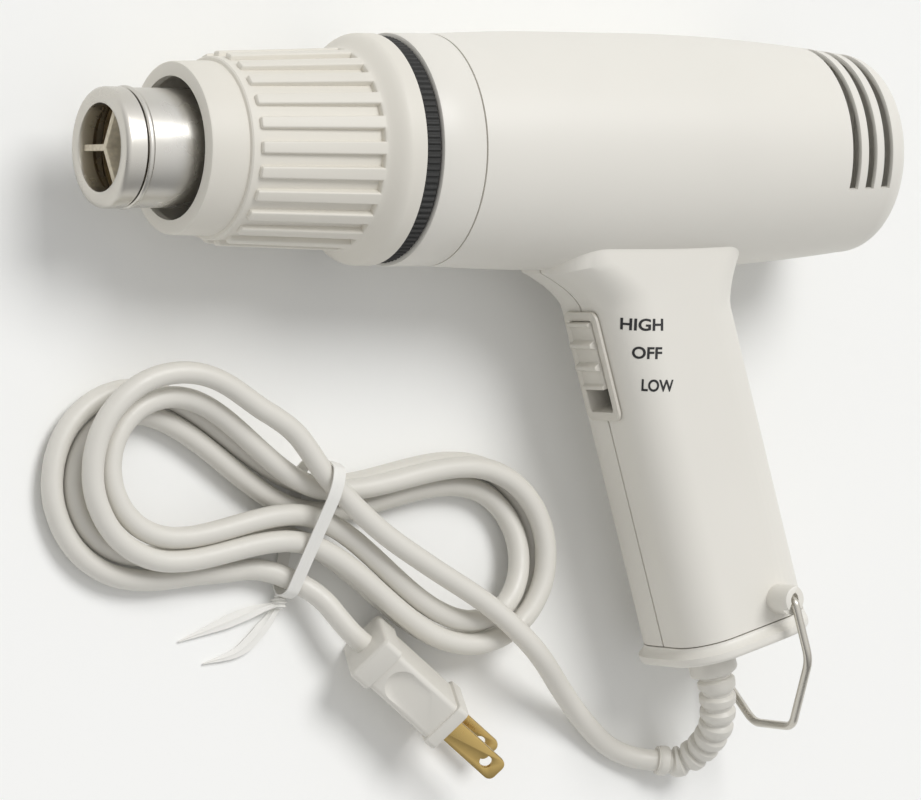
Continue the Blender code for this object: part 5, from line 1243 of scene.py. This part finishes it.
class HEATGUN_OT_shroud(Operator):
    """Mould the shroud with its step, its raised ribs and its flared rear"""
    bl_idname = "heat_gun.shroud"
    bl_label = "Heat shroud"

    def execute(self, context):
        sizes = context.scene.heat_gun_sizes
        flare = SHROUD_REAR - RIB_END
        end = BARREL_FRONT_RADIUS - 0.2
        floor = FLOOR_RADIUS
        rear_floor = floor + FLOOR_RISE
        outline = [(SHROUD_FRONT, SHROUD_MOUTH_RADIUS), (SHROUD_FRONT, SLEEVE_RADIUS - 0.7),
                   (SHROUD_FRONT + 0.2, SLEEVE_RADIUS - 0.2), (SHROUD_FRONT + 0.7, SLEEVE_RADIUS),
                   (SHOULDER_AT, SLEEVE_RADIUS + 0.2), (SHOULDER_AT + 0.15, floor - 0.35),
                   (SHOULDER_AT + 0.5, floor), (RIB_START, floor), (RIB_END, rear_floor),
                   (RIB_END + 0.1, RIB_REAR_RADIUS - 0.3)]
        # The ribs' tops run into the flare with a small hollow, then it rounds over
        rise = end - RIB_REAR_RADIUS
        outline += [(RIB_END + 0.3 + 0.6 * flare * n / 12,
                     RIB_REAR_RADIUS + rise * math.sin(a) ** FLARE_HOLLOW) for n, a in enumerate(quarter(12))]
        outline += [(SHROUD_REAR, end), (SHROUD_REAR, end - SHROUD_WALL), (RIB_END + 0.55 * flare, end - 2.6),
                    (RIB_END + 0.1, RIB_REAR_RADIUS - 3.4), (RIB_START, floor - SHROUD_WALL),
                    (SHROUD_FRONT + SHROUD_WALL, SLEEVE_RADIUS - SHROUD_WALL),
                    (SHROUD_FRONT + SHROUD_WALL, SHROUD_MOUTH_RADIUS)]
        shroud = turned("shroud", outline, sizes.turning_steps)
        first = self.rib(sizes.rib_count)
        ribs = [first] + [copied(first) for _ in range(sizes.rib_count - 1)]
        for number, rib in enumerate(ribs):
            reshaped(rib, Matrix.Rotation(math.tau * number / sizes.rib_count, 4, "X"))
        combined(shroud, joined(ribs), "UNION")
        settled(shroud, "ribbed_shroud", "heat_proof_nylon", ["heat_shroud"], 32.0)
        return {"FINISHED"}

    def rib(self, count):
        """One raised bar with a rounded top, which rises and widens towards the rear."""
        rings = []
        groove = RIB_FRONT_RADIUS * math.tau / count * (1.0 - RIB_SHARE)
        stations = ((RIB_START, 0.5), (RIB_START + 0.25, 0.15), (RIB_START + 0.8, 0.0), (RIB_END + 1.6, 0.0))
        for x, less in stations:
            share = (x - RIB_START) / (RIB_END - RIB_START)
            top = RIB_FRONT_RADIUS + (RIB_REAR_RADIUS - RIB_FRONT_RADIUS) * share - less
            half = (top * math.tau / count - groove) / 2 - less * 0.6
            low = FLOOR_RADIUS - 0.6
            edge = half - RIB_ROUND
            crown = top - RIB_ROUND
            outline = [(-half, low)] + arc(-edge, crown, RIB_ROUND, 180.0, 90.0, 4)
            outline += arc(edge, crown, RIB_ROUND, 90.0, 0.0, 4) + [(half, low)]
            rings.append([(x, y, z) for y, z in outline])
        return drawn("rib", rings)


class HEATGUN_OT_band_and_collar(Operator):
    """Turn the collar and mould the finely ribbed rubber band in front of it"""
    bl_idname = "heat_gun.band_and_collar"
    bl_label = "Seal band and collar"

    def execute(self, context):
        sizes = context.scene.heat_gun_sizes
        low = BAND_RADIUS - KNURL_DEPTH
        inner = BAND_RADIUS - BAND_DEPTH
        outline = [(BAND_FRONT, inner), (BAND_FRONT, low), (BAND_FRONT + 0.35, BAND_RADIUS - 0.1),
                   (BAND_FRONT + 0.6, BAND_RADIUS), (BAND_REAR - 0.6, BAND_RADIUS),
                   (BAND_REAR - 0.35, BAND_RADIUS - 0.1), (BAND_REAR, low), (BAND_REAR, inner)]
        band = turned("band", outline, sizes.knurl_count * 4)
        for vert in band.data.vertices:
            radius = math.hypot(vert.co.y, vert.co.z)
            column = round(math.atan2(vert.co.z, vert.co.y) / math.tau * sizes.knurl_count * 4) % 4
            if radius > low + 0.05 and column in (2, 3):
                vert.co.y *= low / radius
                vert.co.z *= low / radius
        settled(band, "ribbed_band", "silicone_rubber", ["seal_band"], 25.0)
        bore = BARREL_FRONT_RADIUS - WALL
        spigot = bore - GAP
        web = NOZZLE_REAR + GAP
        end = COLLAR_REAR + COLLAR_SPIGOT
        lining = spigot - COLLAR_SPIGOT_WALL
        throat = NOZZLE_RADIUS + COLLAR_WEB_GAP
        outline = [(COLLAR_FRONT, bore), (COLLAR_FRONT, BARREL_FRONT_RADIUS),
                   (COLLAR_REAR, BARREL_FRONT_RADIUS), (COLLAR_REAR, spigot), (end, spigot), (end, lining),
                   (web + COLLAR_WEB, lining), (web + COLLAR_WEB, throat), (web, throat), (web, bore)]
        collar = turned("collar", outline, sizes.turning_steps)
        holes = []
        reach = Vector((5.0, 0.0, 0.0))
        radius = SCREW_RADIUS + SCREW_GAP
        for step in range(FLANGE_SCREWS):
            angle = math.tau * (step + 0.25) / FLANGE_SCREWS
            spot = Vector((web, FLANGE_SCREW_CIRCLE * math.cos(angle), FLANGE_SCREW_CIRCLE * math.sin(angle)))
            stations = [(spot - reach, radius), (spot + reach, radius)]
            holes.append(rod("hole", stations, ALONG, (0.0, 0.0, 1.0), 20))
        softened(collar, sizes.edge_round / MM, 60.0)
        combined(collar, joined(holes))
        settled(collar, "plain_collar", "moulded_abs", ["front_collar"])
        return {"FINISHED"}


class HEATGUN_OT_housing(Operator):
    """Mould the two halves of barrel and handle, with slots, window, posts, bosses and parting line"""
    bl_idname = "heat_gun.housing"
    bl_label = "Housing halves"

    def execute(self, context):
        sizes = context.scene.heat_gun_sizes
        steps = sizes.turning_steps
        shell = body_block(0.0, BARREL_FRONT, HANDLE_END, steps)
        combined(shell, body_block(WALL, BARREL_FRONT - OVERRUN, HANDLE_END + OVERRUN, steps))
        combined(shell, self.thinning(steps))
        slots = [self.slot(number, side) for number in range(SLOT_COUNT) for side in (-1.0, 1.0)]
        combined(shell, joined(slots))
        half_length = WINDOW_LENGTH / 2 + BEZEL_RIM / 2 + GAP
        half_width = WINDOW_WIDTH / 2 + BEZEL_RIM / 2 + GAP
        window = brick("window", (-HANDLE_HALF_DEPTH - 5.0, -half_width, -SWITCH_AT - half_length),
                       (-HANDLE_HALF_DEPTH + WALL + 3.0, half_width, -SWITCH_AT + half_length))
        combined(shell, reshaped(window, HANDLE))
        # The groove is what a thin plate takes from the wall's outermost part
        half_line = sizes.parting_width / MM / 2
        line = brick("line", (60.0, -half_line, -180.0), (260.0, half_line, 60.0))
        combined(line, body_block(PARTING_DEPTH, BARREL_FRONT - OVERRUN, HANDLE_END + OVERRUN, steps))
        combined(shell, line)
        core = body_block(WALL / 2, BARREL_FRONT + 2.0, HANDLE_END - 2.0, 48)
        for side, name in ((-1.0, "left"), (1.0, "right")):
            half = copied(shell)
            low, high = sorted((side * PARTING_GAP, side * BEYOND))
            combined(half, brick("keep", (0.0, low, -200.0), (300.0, high, 100.0)), "INTERSECT")
            stations = [(side * y, POST_RADIUS) for y in (PARTING_GAP, BEYOND)]
            posts = [cross_rod("post", place, stations, 32) for place in screw_places()]
            combined(half, combined(joined(posts), core, "INTERSECT", keep_tool=True), "UNION")
            combined(half, self.boss(side), "UNION")
            combined(half, joined(self.holes(side)))
            combined(half, self.notch(side))
            settled(half, f"moulded_half_{name}", "moulded_abs", [f"housing_{name}"], 28.0)
        bpy.data.objects.remove(core, do_unlink=True)
        bpy.data.objects.remove(shell, do_unlink=True)
        return {"FINISHED"}

    def thinning(self, steps):
        """A ring that thins the wall behind the intake slots, as a mould does to keep their bars slim."""
        front = FIRST_SLOT - SLOT_PITCH / 2
        rear = FIRST_SLOT + (SLOT_COUNT - 0.5) * SLOT_PITCH
        places = [front + (rear - front) * n / 12 for n in range(13)]
        line = [(x, barrel_radius(x) - SLOT_WALL) for x in places]
        ring = turned("thinning", [(front, 15.0)] + line + [(rear, 15.0)], steps)
        # Half a step round, so that its corners don't run along the inner wall's
        return reshaped(ring, Matrix.Rotation(math.pi / steps, 4, "X"))

    def slot(self, number, side):
        """A curved bar that cuts one intake slot, wider at the surface so that the slot's edge is eased."""
        at = FIRST_SLOT + number * SLOT_PITCH
        surface = barrel_radius(at)
        half = SLOT_GAP / 2
        eased = half + SLOT_EASE
        section = ((-half, surface - 9.0), (half, surface - 9.0), (half, surface - 0.55),
                   (eased, surface + 0.15), (eased, surface + 4.0), (-eased, surface + 4.0),
                   (-eased, surface + 0.15), (-half, surface - 0.55))
        rings = []
        for step in range(41):
            angle = SLOT_LOW + (SLOT_HIGH - SLOT_LOW) * step / 40
            rings.append([(at + x, side * radius * math.cos(angle), radius * math.sin(angle))
                          for x, radius in section])
        return drawn("slot", rings)

    def boss(self, side):
        """A cup on the handle's side for one end of the bail."""
        stations = ((HANDLE_HALF_WIDTH - WALL * 0.6, BOSS_RADIUS), (BOSS_HALF_WIDTH - 0.5, BOSS_RADIUS),
                    (BOSS_HALF_WIDTH - 0.15, BOSS_RADIUS - 0.15), (BOSS_HALF_WIDTH, BOSS_RADIUS - 0.5))
        return cross_rod("boss", BAIL_PIVOT, [(side * y, radius) for y, radius in stations], 48)

    def holes(self, side):
        """Holes for the bail's end and for the screws, whose heads sink in the far half."""
        pin = BAIL_WIRE_RADIUS + GAP
        elbow = BAIL_WIRE_RADIUS + BAIL_ELBOW_GAP
        floor = BAIL_HALF_WIDTH - BAIL_WIRE_RADIUS - BAIL_ELBOW
        stations = ((HANDLE_HALF_WIDTH + 1.0, pin), (floor, pin), (floor + 0.01, elbow),
                    (BOSS_HALF_WIDTH + 1.0, elbow))
        holes = [cross_rod("hole", BAIL_PIVOT, [(side * y, radius) for y, radius in stations], 28)]
        narrow = SCREW_RADIUS + SCREW_GAP
        wide = SCREW_HEAD_RADIUS + SCREW_GAP
        if side > 0:
            stations = ((-1.0, narrow), (SCREW_SEAT, narrow), (SCREW_SEAT + 0.01, wide), (BEYOND, wide))
        else:
            stations = ((-SCREW_REACH - 1.5, narrow), (1.0, narrow))
        return holes + [cross_rod("hole", place, stations, 28) for place in screw_places()]

    def notch(self, side):
        """The open side of the cup, where the bail's leg swings between its stops."""
        floor = BAIL_HALF_WIDTH - BAIL_WIRE_RADIUS - GAP
        low, high = sorted((side * floor, side * (BOSS_HALF_WIDTH + 2.0)))
        notch = brick("notch", (-BOSS_RADIUS - 2.0, low, -BOSS_RADIUS - 2.0),
                      (BOSS_RADIUS + 2.0, high, BAIL_WIRE_RADIUS + 0.5))
        return reshaped(notch, Matrix.Translation(BAIL_PIVOT)
                        @ Matrix.Rotation(-HANDLE_RAKE - BAIL_MID_SWING, 4, "Y"))


class HEATGUN_OT_housing_screws(Operator):
    """Drive the four cross-head screws that join the halves"""
    bl_idname = "heat_gun.housing_screws"
    bl_label = "Housing screws"

    def execute(self, context):
        seat = SCREW_SEAT + GAP
        head = seat + SCREW_HEAD_HEIGHT
        wide = SCREW_HEAD_RADIUS
        stations = ((-SCREW_REACH, 0.3), (-SCREW_REACH + 1.6, SCREW_RADIUS), (seat, SCREW_RADIUS),
                    (seat + 0.01, wide - 0.1), (seat + 0.3, wide), (head - 0.9, wide),
                    (head - 0.35, wide - 0.3), (head, wide - 1.1))
        screw = cross_rod("screw", Vector(), stations, 36)
        for x, z in ((CROSS_REACH, CROSS_HALF_WIDTH), (CROSS_HALF_WIDTH, CROSS_REACH)):
            combined(screw, brick("cross", (-x, head - CROSS_DEPTH, -z), (x, head + 1.0, z)))
        places = screw_places()
        screws = [screw] + [copied(screw) for _ in places[1:]]
        for number, (made, place) in enumerate(zip(screws, places), 1):
            turn = Matrix.Rotation(SCREW_TURN * number, 4, "Y")
            reshaped(made, Matrix.Translation(place) @ turn)
            settled(made, f"cross_screw_{number}", "zinc_plate", [f"housing_screw_{number}"])
        return {"FINISHED"}


class HEATGUN_OT_switch(Operator):
    """Mould the switch's frame and the stepped slide that the thumb moves"""
    bl_idname = "heat_gun.switch"
    bl_label = "Switch frame and slide"

    def execute(self, context):
        upright = (HANDLE @ Matrix.Translation((-HANDLE_HALF_DEPTH - PARTING_GAP, 0.0, -SWITCH_AT))
                   @ Matrix.Rotation(-math.pi / 2, 4, "Y"))
        bezel = slab("frame", self.window(BEZEL_RIM, 2.4, 8), 0.0, BEZEL_PROUD)
        sleeve = slab("sleeve", self.window(BEZEL_RIM / 2, 0.5, 4), -BEZEL_DEPTH, BEZEL_PROUD * 0.5)
        combined(bezel, sleeve, "UNION")
        combined(bezel, slab("slot", self.window(0.0, 0.8, 6), -BEZEL_DEPTH - 2.0, BEZEL_PROUD + 2.0))
        softened(bezel, context.scene.heat_gun_sizes.edge_round / MM, 50.0)
        settled(reshaped(bezel, upright), "switch_frame", "switch_acetal", ["switch_bezel"],
                40.0)
        slider = self.slide(WINDOW_WIDTH / 2 - GAP)
        softened(slider, 0.22, 25.0)
        stem = brick("stem", (-2.0, -1.2, -BEZEL_DEPTH - 3.0), (2.0, 1.2, -BEZEL_DEPTH + 2.0))
        combined(slider, stem, "UNION")
        home = upright @ Matrix.Translation((SLIDE_TRAVEL / 2, 0.0, 0.0))
        settled(reshaped(slider, home), "thumb_slide", "switch_acetal", ["switch_slider"],
                40.0, body="slider")
        return {"FINISHED"}

    def window(self, wider, corner, steps):
        """The slot that the slide moves in, or an outline a little wider."""
        half_length = WINDOW_LENGTH / 2 + wider
        return rounded_outline(half_length, half_length, WINDOW_WIDTH / 2 + wider, corner, steps)

    def slide(self, half_width):
        """Three flats between raised ridges, seen from the side and drawn out to the slide's width."""
        half = SLIDER_LENGTH / 2
        cell = SLIDER_LENGTH / 3
        level = BEZEL_PROUD + 0.3
        lip = level + RIDGE_HEIGHT * 0.55
        outline = [(-half, -BEZEL_DEPTH + 1.2), (half, -BEZEL_DEPTH + 1.2), (half, lip), (half - 0.9, lip),
                   (half - 1.4, level)]
        for ridge in (1, 2):
            at = half - ridge * cell
            top = level + RIDGE_HEIGHT
            outline += [(at + 1.2, level), (at + 0.5, top), (at - 0.5, top), (at - 1.2, level)]
        outline += [(-half + 1.4, level), (-half + 0.9, lip), (-half, lip)]
        return drawn("slide", [[(x, y, z) for x, z in outline] for y in (-half_width, half_width)])


class HEATGUN_OT_legends(Operator):
    """Print the three plain legends beside the switch, bent round the handle's corner"""
    bl_idname = "heat_gun.legends"
    bl_label = "Switch legends"

    def execute(self, context):
        height = context.scene.heat_gun_sizes.legend_height / MM
        for word, width, start, down in LEGENDS:
            only()
            bpy.ops.object.text_add()
            text = context.object
            text.data.body = word
            text.data.offset = LETTER_WEIGHT
            bpy.ops.object.convert(target="MESH")
            print_mesh = context.object
            self.slice_upright(print_mesh)
            across, upwards, _ = zip(*(vert.co for vert in print_mesh.data.vertices))
            left = min(across)
            foot = min(upwards)
            wider = width / (max(across) - left)
            taller = height / (max(upwards) - foot)
            for vert in print_mesh.data.vertices:
                vert.co = self.on_handle(start, down, (vert.co.x - left) * wider, (vert.co.y - foot) * taller)
            modified(print_mesh, "SOLIDIFY", thickness=INK_THICKNESS, offset=0.0)
            mend(print_mesh)
            settled(print_mesh, f"legend_{word.lower()}", "pad_print_ink")
        return {"FINISHED"}

    def slice_upright(self, piece):
        """Cut the flat letters into narrow upright strips, so that they can bend."""
        only(piece)
        bpy.ops.object.mode_set(mode="EDIT")
        low = min(v.co.x for v in piece.data.vertices)
        high = max(v.co.x for v in piece.data.vertices)
        for step in range(1, LETTER_STRIPS):
            bpy.ops.mesh.select_all(action="SELECT")
            cut = low + (high - low) * step / LETTER_STRIPS
            bpy.ops.mesh.bisect(plane_co=(cut, 0.0, 0.0), plane_no=(1.0, 0.0, 0.0))
        bpy.ops.object.mode_set(mode="OBJECT")

    def on_handle(self, start, down, right, up):
        """A place on the handle's near side, with distances along the surface, level with the barrel."""
        along = start + right * math.cos(HANDLE_RAKE) + up * math.sin(HANDLE_RAKE)
        below = down + right * math.sin(HANDLE_RAKE) - up * math.cos(HANDLE_RAKE)
        proud = INK_THICKNESS / 2
        flat_end = HANDLE_CORNER - HANDLE_HALF_DEPTH
        if along >= 0.0:
            return HANDLE @ Vector((flat_end + along, -HANDLE_HALF_WIDTH - proud, -below))
        turn = -along / HANDLE_CORNER
        radius = HANDLE_CORNER + proud
        return HANDLE @ Vector((flat_end - radius * math.sin(turn),
                                HANDLE_CORNER - HANDLE_HALF_WIDTH - radius * math.cos(turn), -below))


class HEATGUN_OT_base(Operator):
    """Mould the handle's base and the ribbed sleeve where the cord comes out"""
    bl_idname = "heat_gun.base"
    bl_label = "Base and strain relief"

    def execute(self, context):
        rings = []
        # Distances down the handle, the share of the overhang there, and how far the edge is rounded in
        stations = [(BASE_TOP + BASE_COVE * math.sin(a), math.sin(a) ** 2 if n else 0.05, 0.0)
                    for n, a in enumerate(quarter(8))]
        stations += [(down, 1.0, less)
                     for down, less in arc(BASE_BOTTOM - BASE_ROUND, BASE_ROUND, BASE_ROUND, -90.0, 0.0, 5)]
        for down, share, less in stations:
            over = BASE_OVERHANG * share - less
            back = HANDLE_HALF_DEPTH + BASE_BACK_OVERHANG * share - less
            outline = rounded_outline(HANDLE_HALF_DEPTH + over, back, HANDLE_HALF_WIDTH + over,
                                      HANDLE_CORNER + over, 12)
            rings.append([(x, y, -down) for x, y in outline])
        cap = drawn("cap", rings)
        top = BASE_TOP - BASE_SPIGOT
        combined(cap, self.plug_of(WALL + GAP, top, BASE_TOP + 2.0), "UNION")
        combined(cap, self.plug_of(WALL + GAP + BASE_SPIGOT_WALL, top - OVERRUN, BASE_TOP + BASE_RECESS))
        hole = [((-RELIEF_FORWARD, 0.0, z), RELIEF_NECK_RADIUS + GAP)
                for z in (-BASE_TOP + OVERRUN, -BASE_BOTTOM - OVERRUN)]
        combined(cap, rod("hole", hole, (0.0, 0.0, 1.0), ALONG, 36))
        settled(reshaped(cap, HANDLE), "handle_base", "moulded_abs", ["base_cap"], 30.0)
        settled(self.relief(), "cord_sleeve", "cord_pvc", ["strain_relief"], 30.0, TABLE)
        return {"FINISHED"}

    def plug_of(self, inset, top, bottom):
        """A block that fills the handle but for an inset, between two distances down it."""
        half_depth = HANDLE_HALF_DEPTH - inset
        outline = rounded_outline(half_depth, half_depth, HANDLE_HALF_WIDTH - inset, HANDLE_CORNER - inset, 8)
        return slab("spigot", outline, -top, -bottom)

    def relief(self):
        """The sleeve's neck and collar in the base, then its rounded ribs along the bend."""
        straight, bend = relief_line()
        down = (straight[1] - straight[0]).normalized()
        collar = straight[1] - down * RELIEF_COLLAR_LENGTH
        wide = RELIEF_COLLAR_RADIUS
        line = [(straight[0], wide - 0.4), (straight[0] + down * 2.0, wide - 0.4),
                (straight[0] + down * 2.01, RELIEF_NECK_RADIUS), (collar, RELIEF_NECK_RADIUS),
                (collar + down * 0.01, wide - 0.3), (collar + down * 0.3, wide),
                (straight[1] - down * 0.9, wide), (straight[1] - down * 0.35, wide - 0.3),
                (straight[1] - down * 0.05, wide - 1.0)]
        total = len(bend) - 1
        pitch = total / RELIEF_RIBS
        # Shares of a rib's length, and how deep the groove is there
        profile = ((0.06, 1.0), (0.22, 1.0), (0.3, 0.45), (0.4, 0.06), (0.6, 0.0), (0.82, 0.06), (0.94, 0.45))
        for rib in range(RELIEF_RIBS):
            for part, deep in profile:
                at = (rib + part) * pitch
                share = at / total
                spot = bend[int(at)].lerp(bend[min(int(at) + 1, total)], at - int(at))
                radius = RELIEF_START_RADIUS + (RELIEF_END_RADIUS - RELIEF_START_RADIUS) * share
                line.append((spot, radius - RELIEF_RIB_DEPTH * deep))
        line.append((bend[-1], RELIEF_END_RADIUS - 0.3))
        rings = []
        upright = Vector((0.0, 0.0, 1.0))
        for n, (spot, radius) in enumerate(line):
            after = next((p for p, _ in line[n + 1:] if (p - spot).length > 0.2), spot)
            before = next((p for p, _ in reversed(line[:n]) if (p - spot).length > 0.2), spot)
            along = (after - before).normalized()
            upright = (upright - along * upright.dot(along)).normalized()
            rings.append(ring_across(spot, along, radius, 32, upright))
        return drawn("relief", rings)


class HEATGUN_OT_bail(Operator):
    """Bend the wire bail that the gun hangs from"""
    bl_idname = "heat_gun.bail"
    bl_label = "Hanging bail"

    def execute(self, context):
        # One half, as distances sideways and down from the pivot
        elbow = BAIL_ELBOW
        half = [Vector((BAIL_HALF_WIDTH - 5.6, 0.0)), Vector((BAIL_HALF_WIDTH - elbow - 0.4, 0.0))]
        half += [Vector(p) for p in arc(BAIL_HALF_WIDTH - elbow, elbow, elbow, -90.0, 0.0, 8)[1:]]
        corners = [Vector((BAIL_HALF_WIDTH, BAIL_STRAIGHT)), Vector((BAIL_FOOT_HALF_WIDTH, BAIL_LENGTH))]
        before = half[-1]
        for corner, after in zip(corners, (corners[1], Vector((0.0, BAIL_LENGTH)))):
            half += bent_corner(before, corner, after, BAIL_CORNER, [n / 10 for n in range(11)])
            before = half[-1]
        full = half + [Vector((-p.x, p.y)) for p in reversed(half)]
        points = [HANDLE @ Vector((BAIL_PLACE[0], -p.x, BAIL_PLACE[1] - p.y)) for p in full]
        settled(wire("bail", points, BAIL_WIRE_RADIUS, 20), "wire_bail", "nickel_plate", ["bail"],
                40.0, body="bail")
        return {"FINISHED"}


class HEATGUN_OT_wiring(Operator):
    """Run the cord's end through its clamp, and its wires on to the switch and the motor"""
    bl_idname = "heat_gun.wiring"
    bl_label = "Inner wiring"

    def execute(self, context):
        forward = -RELIEF_FORWARD
        jacket = [HANDLE @ Vector((forward, 0.0, -down)) for down in (RELIEF_INNER_END - GAP, JACKET_END)]
        settled(wire("jacket", evenly(jacket, 2.0), CORD_RADIUS - 0.05, 24), "clamped_cord", "cord_pvc",
                ["cord_inner"], 50.0)
        for name, finish, slot, y in (("live", "red_insulation", "red_wire", -WIRE_SPREAD),
                                      ("neutral", "blue_insulation", "blue_wire", WIRE_SPREAD)):
            route = [(forward, y, -JACKET_END - 2.0), (forward, y, 5.0 - JACKET_END),
                     (forward - 1.5, y * 1.6, 14.0 - JACKET_END),
                     (forward - 4.0, y * 2.4, -SWITCH_FOOT - 9.0), (forward - 4.5, y * 2.6, -SWITCH_FOOT)]
            core = wire(name, smooth_route([HANDLE @ Vector(p) for p in route], 1.2), WIRE_RADIUS, 16)
            settled(core, f"{name}_core", finish, [f"wire_{name}"], 50.0)
        start = HANDLE @ Vector((SWITCH_BACK, 0.0, -SWITCH_AT))
        rise = [(4.0, -22.0), (6.0, -9.0), (3.0, -6.0), (0.0, -6.0)]
        route = [start, start + Vector((4.0, 0.0, 2.0))] + [Vector((MOTOR_REAR + x, 0.0, z)) for x, z in rise]
        settled(wire("motor", smooth_route(route, 1.2), WIRE_RADIUS, 16), "motor_core", "red_insulation",
                ["wire_motor"], 50.0)
        return {"FINISHED"}


class HEATGUN_OT_inner_parts(Operator):
    """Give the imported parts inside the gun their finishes"""
    bl_idname = "heat_gun.inner_parts"
    bl_label = "Inner parts"

    def execute(self, context):
        finishes = {
            "turned_stainless": ("nozzle_flange", "motor_shaft"),
            "zinc_plate": ("flange_screw_1", "flange_screw_2", "flange_screw_3", "clamp_screw_1",
                           "clamp_screw_2", "motor_can"),
            "nickel_plate": ("thermal_cutout",),
            "black_nylon": ("fan", "motor_end_cap", "motor_bracket", "switch_body", "cord_clamp"),
        }
        for name, nodes in finishes.items():
            for node in nodes:
                part = frame["nodes"][node]
                part.data.materials.clear()
                part.data.materials.append(finish_of(name))
        return {"FINISHED"}


class HEATGUN_PT_panel(Panel):
    """Sizes, colours and one button for each piece"""
    bl_idname = "HEATGUN_PT_panel"
    bl_label = "Heat Gun"
    bl_space_type = "VIEW_3D"
    bl_region_type = "UI"
    bl_category = "Heat Gun"

    def draw(self, context):
        layout = self.layout
        for group in (context.scene.heat_gun_sizes, context.scene.heat_gun_colours):
            box = layout.box()
            for name in group.__annotations__:
                box.prop(group, name)
        for step in STEPS:
            layout.operator(step.bl_idname)


STEPS = (HEATGUN_OT_stage, HEATGUN_OT_plug, HEATGUN_OT_tie, HEATGUN_OT_cord, HEATGUN_OT_nozzle,
         HEATGUN_OT_element, HEATGUN_OT_shroud, HEATGUN_OT_band_and_collar, HEATGUN_OT_housing,
         HEATGUN_OT_housing_screws, HEATGUN_OT_switch, HEATGUN_OT_legends, HEATGUN_OT_base, HEATGUN_OT_bail,
         HEATGUN_OT_wiring, HEATGUN_OT_inner_parts)
CLASSES = (HeatGunSizes, HeatGunColours, *STEPS, HEATGUN_PT_panel)


def register():
    """Register every class and give the scene its sizes and colours."""
    for made in CLASSES:
        bpy.utils.register_class(made)
    bpy.types.Scene.heat_gun_sizes = PointerProperty(type=HeatGunSizes)
    bpy.types.Scene.heat_gun_colours = PointerProperty(type=HeatGunColours)


def unregister():
    """Take away what register added."""
    del bpy.types.Scene.heat_gun_colours
    del bpy.types.Scene.heat_gun_sizes
    for made in reversed(CLASSES):
        bpy.utils.unregister_class(made)


def main():
    """Make every piece."""
    register()
    for step in STEPS:
        group, name = step.bl_idname.split(".")
        getattr(getattr(bpy.ops, group), name)()


if __name__ == "__main__":
    main()
